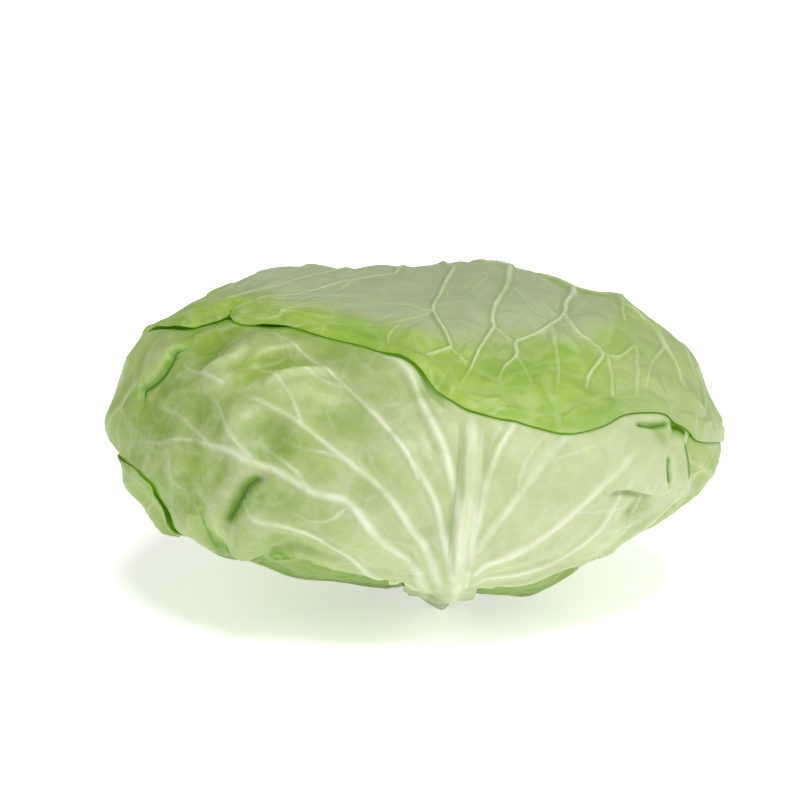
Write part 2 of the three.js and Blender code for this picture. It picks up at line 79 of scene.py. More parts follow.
centre = np.array(head["centre"])
radii = np.array([head["halfWidth"], head["halfDepth"], head["halfHeight"]])
tilt = math.radians(head["lookDown"])
sightRight = np.array([1.0, 0.0, 0.0])
sightUp = np.array([0.0, math.sin(tilt), math.cos(tilt)])
sightAlong = np.array([0.0, math.cos(tilt), -math.sin(tilt)])
pictureMiddle = view["picture"] / 2
aim = (centre + sightRight * (pictureMiddle - view["headAt"][0]) * view["unit"]
       + sightUp * (view["headAt"][1] - pictureMiddle) * view["unit"])
eye = aim - sightAlong * view["distance"]


def smoothStep(value, low, high):
    t = np.clip((value - low) / (high - low), 0, 1)
    return t * t * (3 - 2 * t)


def mix(low, high, t):
    return low + (high - low) * t


# A smooth closed curve of an angle in degrees, through (angle, value) pairs.
def closedSpline(pairs):
    knots = np.array(sorted(pairs), float)
    turn = np.array([360.0, 0.0])
    run = np.concatenate([knots[-3:] - turn, knots, knots[:3] + turn])
    angle, value = run[:, 0], run[:, 1]
    slope = np.gradient(value, angle)
    slope[1:-1] = (value[2:] - value[:-2]) / (angle[2:] - angle[:-2])

    def at(asked):
        a = (np.asarray(asked, float) - knots[0, 0]) % 360 + knots[0, 0]
        i = np.searchsorted(angle, a, side="right") - 1
        step = angle[i + 1] - angle[i]
        t = (a - angle[i]) / step
        return (value[i] * (1 + 2 * t) * (1 - t) ** 2 + slope[i] * step * t * (1 - t) ** 2
                + value[i + 1] * t * t * (3 - 2 * t) + slope[i + 1] * step * t * t * (t - 1))

    return at


# Smooth random values from -1 to 1, with lumps about as big as size.
def noiseAt(points, size, seed):
    table = np.random.default_rng(seed).uniform(-1, 1, (32, 32, 32))
    q = np.asarray(points) / size + 512.37
    cell = np.floor(q).astype(int)
    f = q - cell
    f = f * f * (3 - 2 * f)
    total = 0
    for dx in (0, 1):
        for dy in (0, 1):
            for dz in (0, 1):
                weight = ((f[:, 0] if dx else 1 - f[:, 0]) * (f[:, 1] if dy else 1 - f[:, 1])
                          * (f[:, 2] if dz else 1 - f[:, 2]))
                corner = table[(cell[:, 0] + dx) % 32, (cell[:, 1] + dy) % 32, (cell[:, 2] + dz) % 32]
                total = total + weight * corner
    return total


frontTilt = math.atan(math.tan(tilt) * head["halfDepth"] / head["halfHeight"])
frontUp = np.array([0, math.sin(frontTilt), math.cos(frontTilt)])
seenHalfHeight = math.hypot(head["halfDepth"] * math.sin(tilt), head["halfHeight"] * math.cos(tilt))
outlineScale = None


def outlineKnot(across, down):
    x = (across - view["headAt"][0]) * view["unit"] / head["halfWidth"]
    y = (view["headAt"][1] - down) * view["unit"] / seenHalfHeight
    return math.degrees(math.atan2(y, x)), math.hypot(x, y)


def pictureSpot(points):
    reach = (points - eye) @ sightAlong
    size = view["distance"] / view["unit"] / reach
    offset = (points - eye) * size[:, None]
    return pictureMiddle + offset @ sightRight, pictureMiddle - offset @ sightUp


# How much the body is stretched in each direction to keep its outline from the front.
def stretch(toward):
    y = toward @ frontUp
    rim = toward[:, 0] ** 2 + y ** 2
    return 1 + (outlineScale(np.degrees(np.arctan2(y, toward[:, 0]))) - 1) * rim


# Points that stand height above the body, in unit directions from its middle.
def bodyPoint(toward, height):
    outward = toward / radii
    outward /= np.linalg.norm(outward, axis=1)[:, None]
    point = toward * radii * stretch(toward)[:, None] + centre
    above = point[:, 2] - head["seatHeight"]
    point[:, 2] = head["seatHeight"] + (above + np.hypot(above, head["seatBlend"])) / 2
    return point + outward * np.broadcast_to(height, len(toward))[:, None]


# Scales the body, spot by spot of its outline, until the camera sees it reach that outline. The limb is
# the band of directions, 40 degrees to either side, among which its outline lies.
def fitOutline():
    global outlineScale
    angles, scales = (np.array(part) for part in zip(*[outlineKnot(*spot) for spot in head["outline"]]))
    outline = np.array(head["outline"]) - view["headAt"]
    wanted, bearing = np.hypot(outline[:, 0], outline[:, 1]), np.arctan2(outline[:, 1], outline[:, 0])
    frontOut = np.cross(sightRight, frontUp) * -1
    turn, lean = (side.ravel() for side in np.meshgrid(np.radians(np.arange(0, 360, 0.5)),
                                                       np.radians(np.arange(-40, 41, 2.0))))
    limb = (np.outer(np.cos(turn) * np.cos(lean), sightRight)
            + np.outer(np.sin(turn) * np.cos(lean), frontUp) + np.outer(np.sin(lean), frontOut))
    for _ in range(8):
        outlineScale = closedSpline(list(zip(angles, scales)))
        x, y = pictureSpot(bodyPoint(limb, head["skin"]))
        x, y = x - view["headAt"][0], y - view["headAt"][1]
        far, way = np.hypot(x, y), np.arctan2(y, x)
        for i in range(len(scales)):
            apart = np.abs((way - bearing[i] + math.pi) % (2 * math.pi) - math.pi)
            scales[i] *= mix(1, wanted[i] / far[apart < math.radians(1.2)].max(), 0.8)


fitOutline()


# The directions that picture places show, for a surface that stands height above the body.
def seen(places, height=head["drawnOn"]):
    places = np.asarray(places, float)
    offset = (places - pictureMiddle) * view["unit"] / view["distance"]
    ray = sightAlong + np.outer(offset[:, 0], sightRight) - np.outer(offset[:, 1], sightUp)

    def inside(reach):
        q = (eye + ray * reach[:, None] - centre) / (radii + height)
        far = np.linalg.norm(q, axis=1)
        toward = q / far[:, None]
        return far - stretch(toward), toward

    steps = view["distance"] + np.linspace(*view["depths"])
    depth = np.array([inside(np.full(len(places), s))[0] for s in steps])
    hit = np.where((depth < 0).any(axis=0), np.argmax(depth < 0, axis=0), np.argmin(depth, axis=0))
    high, low = steps[hit], steps[np.maximum(hit - 1, 0)]
    for _ in range(12):
        half = (low + high) / 2
        under = inside(half)[0] < 0
        high, low = np.where(under, half, high), np.where(under, low, half)
    return inside(high)[1]


stemward = Vector((-centre[0] / radii[0], -centre[1] / radii[1], -1)).normalized()
towardStem = np.array(Vector((0, 0, -1)).rotation_difference(stemward).to_matrix())


# A direction by its compass angle round the stem, from the front towards +X, and its height above level.
def direction(azimuth, elevation):
    a, e = math.radians(azimuth), math.radians(elevation)
    return towardStem @ np.array([math.sin(a) * math.cos(e), -math.cos(a) * math.cos(e), math.sin(e)])


# The ripple of a leaf's margin: how high each wave is, how many there are round the leaf, and how turned.
marginWaves = [(0.6, 9, 1), (0.4, 17, -2), (0.3, 41, 3)]


# Each leaf is a patch in its own round chart: x across and y towards the tip, in degrees from its middle.
class Leaf:
    def __init__(self, settings):
        self.name = settings["name"]
        self.settings = settings = {**plainLeaf, **settings}
        self.middle = direction(settings["azimuth"], settings["elevation"])
        tipward = direction(settings["azimuth"], settings["elevation"] + 90)
        self.tipward = tipward
        self.across = np.cross(tipward, self.middle)
        knots = list(settings["margin"])
        if settings["seenMargin"]:
            x, y = self.chart(seen(settings["seenMargin"], head["marginsOn"]))
            knots += list(zip(np.degrees(np.arctan2(y, x)), np.hypot(x, y)))
        self.smoothReach = closedSpline(knots)
        angle = np.linspace(-90, 270, 721)
        far = self.reach(angle)
        self.rimX, self.rimY = far * np.cos(np.radians(angle)), far * np.sin(np.radians(angle))
        self.rimRun = np.concatenate([[0], np.cumsum(np.hypot(np.diff(self.rimX), np.diff(self.rimY)))])
        self.meanReach = far.mean()
        self.rimPoints = bodyPoint(self.place(self.rimX, self.rimY), 0)

    def reach(self, angle):
        a = np.radians(angle)
        shift = math.radians(self.settings["azimuth"])
        ripple = sum(high * np.sin(count * a + turn * shift) for high, count, turn in marginWaves)
        return self.smoothReach(angle) + self.settings["waves"] * ripple

    def chart(self, toward):
        far = np.degrees(np.arccos(np.clip(toward @ self.middle, -1, 1)))
        x, y = toward @ self.across, toward @ self.tipward
        size = np.maximum(np.hypot(x, y), 1e-9)
        return far * x / size, far * y / size

    def place(self, x, y):
        x, y = np.asarray(x, float), np.asarray(y, float)
        far = np.hypot(x, y)
        size = np.maximum(far, 1e-9)
        side = np.outer(x / size, self.across) + np.outer(y / size, self.tipward)
        far = np.radians(far)
        return np.outer(np.cos(far), self.middle) + side * np.sin(far)[:, None]

    def contains(self, x, y):
        return np.hypot(x, y) <= self.reach(np.degrees(np.arctan2(y, x)))

    # Millimetres to the margin, positive inside.
    def edgeDistance(self, points, x, y):
        far = nearestDistance(points, self.rimPoints)
        return np.where(self.contains(x, y), far, -far)

    # The chart places of a grid of the unit disc, whose rim is the margin by length run from the base.
    # towardTip draws its rows together near the tip, or near the base where it is negative.
    def gridPlaces(self):
        columns, rows = self.settings["cells"]
        towardTip = self.settings["towardTip"]
        run = np.linspace(0, 1, rows + 1)
        run = mix(run, 1 - (1 - run) ** 2 if towardTip > 0 else run ** 2, abs(towardTip))
        a, b = np.meshgrid(np.linspace(-1, 1, columns + 1), 2 * run - 1)
        a, b = a.ravel(), b.ravel()
        x, y = a * np.sqrt(1 - b * b / 2), b * np.sqrt(1 - a * a / 2)
        share = np.hypot(x, y)
        angle = np.arctan2(y, x)
        run = ((np.degrees(angle) + 90) % 360) / 360 * self.rimRun[-1]
        hold = smoothStep(share, 0, 0.55)
        middle = 0.6 * self.meanReach
        gridX = share * mix(middle * np.cos(angle), np.interp(run, self.rimRun, self.rimX), hold)
        gridY = share * mix(middle * np.sin(angle), np.interp(run, self.rimRun, self.rimY), hold)
        return gridX, gridY


# The squared distances from points to targets, for one handful of the points after another.
def squaredDistances(points, targets, handful=8000):
    sizes = (targets ** 2).sum(axis=1)
    for start in range(0, len(points), handful):
        part = slice(start, start + handful)
        yield part, (points[part] ** 2).sum(axis=1)[:, None] + sizes - 2 * points[part] @ targets.T


def nearestDistance(points, targets):
    best = np.empty(len(points))
    for part, square in squaredDistances(points, targets):
        best[part] = np.sqrt(np.maximum(square.min(axis=1), 0))
    return best


# Distance from points to a line of body points, the share along it and the side, for those within range.
def nearLine(points, line, within):
    low, high = line.min(axis=0) - within, line.max(axis=0) + within
    near = np.flatnonzero(((points > low) & (points < high)).all(axis=1))
    far = np.full(len(near), 1e9)
    share = np.zeros(len(near))
    side = np.ones(len(near))
    spots = points[near]
    outward = (spots - centre) / radii ** 2
    for i in range(len(line) - 1):
        along = line[i + 1] - line[i]
        offset = spots - line[i]
        t = np.clip(offset @ along / (along @ along), 0, 1)
        offset = offset - t[:, None] * along
        reach = np.linalg.norm(offset, axis=1)
        better = reach < far
        far[better] = reach[better]
        share[better] = ((i + t) / (len(line) - 1))[better]
        turn = (np.cross(along, offset) * outward).sum(axis=1)
        side[better] = np.where(turn >= 0, 1, -1)[better]
    keep = far < within
    return near[keep], far[keep], share[keep], side[keep]


# A finer, rounder line through a few points.
def smoothLine(points, parts=6):
    points = np.asarray(points, float)
    padded = np.vstack([2 * points[0] - points[1], points, 2 * points[-1] - points[-2]])
    out = []
    for i in range(1, len(padded) - 2):
        p, q, r, s = padded[i - 1:i + 3]
        for t in np.arange(parts) / parts:
            out.append(0.5 * (2 * q + (r - p) * t + (2 * p - 5 * q + 4 * r - s) * t ** 2
                              + (3 * q - p - 3 * r + s) * t ** 3))
    out.append(padded[-2])
    return np.array(out)


# A line of body points under picture places. It may start with [azimuth, elevation] directions.
def seenLine(places, start=()):
    line = bodyPoint(seen(smoothLine(places, 4)), 0)
    if start:
        line = np.vstack([bodyPoint(np.array([direction(*spot) for spot in start]), 0), line])
    return line


# One vein drawn as seen. The rest may be its start, root or taper.
def vein(rank, wide, high, at, **rest):
    return {"rank": rank, "wide": wide, "high": high, "at": at, **rest}


# The midrib, side veins and forks that fan out over a leaf where its veins aren't drawn one by one:
# widths and heights in millimetres at the root and at the tip.
fanRibs = [
    {"rank": 0, "wide": (7.5, 1.2), "high": (4.5, 0.5)},
    {"rank": 1, "wide": (2.1, 0.7), "high": (1.3, 0.25)},
    {"rank": 2, "wide": (1.1, 0.5), "high": (0.6, 0.15)},
]


def fanVeins(leaf, pairs, midribEnd, upTo):
    random = np.random.default_rng(leaf.settings["seed"])

    def spot(angle, share):
        far = share * float(leaf.reach(angle))
        return np.array([far * math.cos(math.radians(angle)), far * math.sin(math.radians(angle))])

    def bow(start, bend, end, wobble=1.5):
        t = np.linspace(0, 1, 14)[:, None]
        line = (1 - t) ** 2 * start + 2 * t * (1 - t) * bend + t * t * end
        line = line + wobble * np.sin(t * 9 + random.uniform(0, 6)) * t * (1 - t) * [1, 0.6]
        line = line[line[:, 1] < upTo]
        return bodyPoint(leaf.place(line[:, 0], line[:, 1]), 0)

    start, end = spot(-90, 1), spot(90, midribEnd)
    veins = [{**fanRibs[0], "line": bow(start, np.array([1.5, 0]), end, 0)}]
    for i in range(pairs):
        for side in (-1, 1):
            share = (i + (0.45 if side > 0 else 0) + random.uniform(-0.1, 0.1)) / pairs
            share = max(share, 0.02)
            root = np.array([0, mix(start[1] * 0.9, end[1] * 0.8, share ** 1.2)])
            tipAngle = -90 + side * mix(34, 165, share)
            tip = spot(tipAngle, 0.96)
            bend = np.array([tip[0] * 0.42, mix(root[1], tip[1], 0.2)])
            veins.append({**fanRibs[1], "line": bow(root, bend, tip)})
            for fork in (0.3, 0.5, 0.7):
                way = random.choice([-1, 1])
                at = (1 - fork) ** 2 * root + 2 * fork * (1 - fork) * bend + fork ** 2 * tip
                forkTip = spot(tipAngle + way * side * random.uniform(9, 20), random.uniform(0.8, 0.97))
                forkBend = mix(at, forkTip, 0.5) + (tip - root) * 0.06
                veins.append({**fanRibs[2], "line": bow(at, forkBend, forkTip, 2.5)})
    return [rib for rib in veins if len(rib["line"]) > 3]


# Veins drawn as seen. One that has a root starts from that place of the leaf's chart.
def drawnVeins(leaf):
    veins = []
    for rib in leaf.settings["drawn"]:
        line = seenLine(rib["at"], rib.get("start", ()))
        if "root" in rib:
            x, y = leaf.chart(seen([rib["at"][0]]))
            t = np.linspace(0, 1, 12)[:-1]
            run = bodyPoint(leaf.place(mix(rib["root"][0], x[0], t), mix(rib["root"][1], y[0], t)), 0)
            line = np.vstack([run, line])
        veins.append({**rib, "line": line})
    return veins


# The net of small veins: how far each point is from the border of its random cell, and that cell's number.
def netCells(points, spacing, seed):
    random = np.random.default_rng(seed)
    count = int(4 * math.pi * head["meanRadius"] ** 2 / spacing ** 2 * 1.15)
    toward = random.normal(size=(count, 3))
    toward /= np.linalg.norm(toward, axis=1)[:, None]
    seeds = bodyPoint(toward, 0)
    warped = points + 0.22 * spacing * np.stack(
        [noiseAt(points, spacing * 0.8, seed + 11 + axis) for axis in range(3)], axis=1)
    border = np.empty(len(points))
    cell = np.empty(len(points), int)
    for part, square in squaredDistances(warped, seeds):
        first = np.argmin(square, axis=1)
        rows = np.arange(len(square))
        least = square[rows, first]
        square[rows, first] = np.inf
        second = np.argmin(square, axis=1)
        gap = np.linalg.norm(seeds[first] - seeds[second], axis=1)
        border[part] = (square[rows, second] - least) / (2 * gap)
        cell[part] = first
    return border, random.uniform(-1, 1, count)[cell]


# The veins that show from the front: rank, width and height in millimetres at the root and at the tip,
# and the line as seen. start leads the line in from the stem, and taper is how early it narrows.
frontVeins = [
    vein(0, (5.6, 3.2), (6.6, 1.5), [(437, 607), (447, 595), (455, 582), (460, 567), (463, 541), (467, 521),
         (471, 495), (473, 480), (474, 449), (472, 421), (470, 396)], start=[(8, -82), (6, -74)],
         taper=1.0),
    vein(1, (1.6, 1.1), (1.0, 0.9), [(455, 572), (458, 545), (462, 520), (466, 490), (468, 450),
         (466, 415)]),
    vein(1, (1.7, 1.2), (1.1, 0.8), [(466, 580), (470, 550), (474, 520), (479, 488), (482, 452),
         (484, 420)]),
    vein(1, (3.2, 2.0), (1.9, 1.1), [(472, 559), (480, 516), (488, 479), (502, 449), (515, 426),
         (526, 402)]),
    vein(1, (3.4, 2.2), (1.8, 1.1), [(478, 552), (500, 522), (518, 499), (545, 465), (564, 444),
         (580, 420)]),
    vein(1, (3.4, 2.2), (1.6, 1.0), [(476, 572), (507, 558), (538, 541), (575, 513), (600, 490), (621, 470),
         (640, 446)]),
    vein(1, (3.2, 1.8), (1.4, 0.8), [(476, 582), (520, 574), (564, 557), (598, 529), (616, 504),
         (634, 470)]),
    vein(2, (1.5, 0.8), (0.9, 0.5), [(590, 552), (621, 536), (637, 513), (645, 495), (655, 470)]),
    vein(1, (3.0, 2.8), (1.7, 2.0), [(459, 560), (459, 525), (456, 492), (440, 440), (426, 412), (415, 384),
         (405, 370), (390, 359), (368, 345)]),
    vein(1, (3.0, 1.2), (1.5, 0.6), [(452, 572), (443, 531), (435, 502), (423, 480), (403, 451), (385, 426),
         (360, 392)]),
    vein(1, (3.9, 1.0), (2.0, 0.5), [(440, 585), (430, 558), (423, 543), (410, 528), (400, 513), (382, 491),
         (343, 460), (300, 426), (279, 414), (258, 405), (225, 392)]),
    vein(1, (1.5, 0.8), (0.8, 0.4), [(418, 478), (405, 451), (390, 433), (375, 416), (360, 401), (345, 388),
         (330, 376), (311, 360), (279, 339), (250, 320)]),
    vein(1, (4.2, 0.9), (2.2, 0.5), [(428, 588), (407, 560), (395, 550), (373, 530), (351, 505), (337, 499),
         (311, 494), (286, 479), (265, 468), (249, 464), (232, 454), (209, 447), (192, 442), (175, 441),
         (160, 443), (146, 443), (118, 442)]),
    vein(1, (3.4, 0.9), (1.5, 0.4), [(430, 594), (410, 581), (388, 578), (359, 565), (337, 550), (307, 535),
         (281, 525), (260, 519), (246, 510), (232, 497), (215, 478)]),
    vein(2, (1.1, 0.6), (0.5, 0.3), [(253, 462), (238, 446), (227, 430), (219, 413), (210, 396)]),
    vein(2, (1.1, 0.6), (0.5, 0.3), [(311, 494), (290, 470), (272, 456), (258, 445), (265, 426)]),
    vein(2, (1.0, 0.5), (0.4, 0.2), [(343, 460), (318, 452), (292, 446), (270, 432)]),
    vein(2, (1.1, 0.5), (0.5, 0.2), [(300, 426), (290, 400), (272, 380), (250, 368)]),
    vein(2, (1.0, 0.5), (0.4, 0.2), [(345, 388), (322, 384), (300, 372), (284, 362)]),
    vein(2, (1.0, 0.5), (0.4, 0.2), [(225, 392), (205, 380), (190, 372), (178, 366)]),
    vein(2, (1.0, 0.5), (0.4, 0.2), [(351, 505), (330, 520), (310, 522), (290, 512)]),
    vein(2, (1.0, 0.5), (0.4, 0.2), [(209, 447), (190, 430), (172, 414), (150, 405)]),
    vein(2, (1.0, 0.5), (0.5, 0.2), [(545, 465), (560, 460), (585, 452), (603, 446)]),
    vein(2, (1.0, 0.5), (0.5, 0.2), [(575, 513), (600, 512), (622, 508), (640, 503)]),
    vein(2, (1.1, 0.6), (0.6, 0.3), [(518, 499), (524, 470), (540, 445), (552, 432)]),
]

crownVeins = [
    vein(1, (2.6, 0.8), (2.5, 1.0), [(516, 262), (511, 267), (508, 281), (497, 302), (494, 318), (495, 327),
         (481, 350), (472, 368), (456, 398)], root=(0, 8)),
    vein(1, (2.6, 0.7), (2.5, 0.8), [(577, 282), (573, 300), (567, 307), (566, 316), (557, 325), (540, 333),
         (518, 343), (518, 357), (504, 371), (497, 396)], root=(0, -4)),
    vein(1, (1.5, 0.8), (1.3, 0.7), [(567, 318), (580, 336), (605, 355), (591, 378), (588, 401)]),
    vein(1, (2.2, 0.6), (2.0, 0.6), [(455, 262), (447, 272), (440, 288), (434, 307), (449, 339), (451, 346),
         (427, 353), (422, 362)], root=(0, 8)),
    vein(2, (1.1, 0.7), (0.9, 0.7), [(552, 327), (558, 350), (560, 373), (557, 396)]),
    vein(2, (1.0, 0.6), (0.9, 0.6), [(610, 359), (614, 382), (616, 401)]),
    vein(2, (1.2, 0.6), (1.0, 0.6), [(605, 355), (622, 360), (637, 352), (638, 389), (637, 401)]),
    vein(1, (2.2, 0.7), (2.2, 0.7), [(623, 300), (626, 318), (630, 332)], root=(-4, -10)),
    vein(1, (2.2, 0.8), (2.3, 0.8), [(628, 309), (655, 336), (676, 369), (690, 400)], root=(-4, -14)),
    vein(1, (2.0, 0.6), (1.6, 0.6), [(395, 268), (352, 275), (310, 284), (262, 298), (222, 313)],
         root=(0, 4)),
    vein(1, (2.0, 0.6), (1.6, 0.6), [(330, 270), (295, 276), (255, 287), (215, 302), (178, 322)],
         root=(0, -8)),
    vein(2, (1.1, 0.5), (0.8, 0.4), [(434, 307), (400, 300), (350, 299), (300, 302), (262, 312)]),
    vein(2, (1.0, 0.5), (0.7, 0.4), [(352, 275), (330, 287), (300, 294), (270, 304)]),
    vein(1, (1.3, 0.7), (1.2, 0.7), [(639, 311), (667, 350), (678, 373), (684, 402)]),
    vein(2, (1.1, 0.7), (0.9, 0.7), [(496, 327), (512, 340), (518, 343)]),
    vein(2, (0.9, 0.6), (0.7, 0.4), [(517, 285), (530, 305), (545, 315), (557, 325)]),
    vein(2, (1.0, 0.5), (0.7, 0.4), [(434, 307), (415, 316), (392, 324), (370, 327)]),
    vein(2, (0.9, 0.5), (0.7, 0.4), [(451, 346), (462, 356), (470, 362)]),
    vein(2, (0.9, 0.5), (0.5, 0.3), [(398, 327), (388, 338), (390, 346)]),
    vein(2, (0.9, 0.5), (0.7, 0.4), [(518, 357), (526, 372), (532, 392)]),
    vein(2, (0.9, 0.6), (0.7, 0.4), [(490, 268), (465, 288), (437, 300)]),
    vein(2, (1.0, 0.5), (0.8, 0.4), [(665, 352), (650, 372), (646, 396)]),
    vein(2, (1.2, 0.7), (1.2, 0.7), [(697, 372), (704, 392), (703, 415)]),
    vein(2, (0.9, 0.5), (0.5, 0.4), [(540, 333), (556, 332), (566, 328)]),
]

# What holds for a leaf that doesn't say otherwise. Sizes are in millimetres.
plainLeaf = {
    "seenMargin": [],  # the stretch of margin that shows from the front, as seen
    "waves": 0.5,  # strength of marginWaves, in degrees
    "towardTip": 0,  # draws the mesh's rows together near the tip, or near the base where it is negative
    "fan": (),  # pairs of side veins, share of the leaf that the midrib runs, and the chart's y they end at
    "drawn": [],
    "ridges": 1.0,  # how high the veins stand, as a share of their own heights
    "line": (0.5, 2),  # how wide a vein's pale line is, as a share of it, and how crisp
    "farPale": 0.8,  # how pale a vein still is at its tip
    "net": 13.0,  # spacing of the small veins
    "netHigh": 0.1,
    "pillow": 0.5,  # swelling within the net
    "between": 0.9,  # swelling between the side veins
    "leftSwell": 1.0,  # strength of the broad bumps at the left end of the head
    "rightSwell": 1.0,
    "leftCrease": 0.7,
    "rightCrease": 0.7,
    "lip": 0.8,  # how far the margin stands off
    "ripple": 0.5,  # small ripple of the blade next to its margin
    "loose": 0,  # share of the leaf's own shape that its margin keeps where it lies on another leaf
    "folds": [],  # rise, spread of the slope and its side, width of the steep side, and the line as seen
    "grooves": [],  # depth, width, half width of the dark, how far it lies to one side, and the line as seen
    "lifts": [],  # place as seen, rise, and reach up and across
    "feet": [],  # azimuth, elevation, rise and reach
}

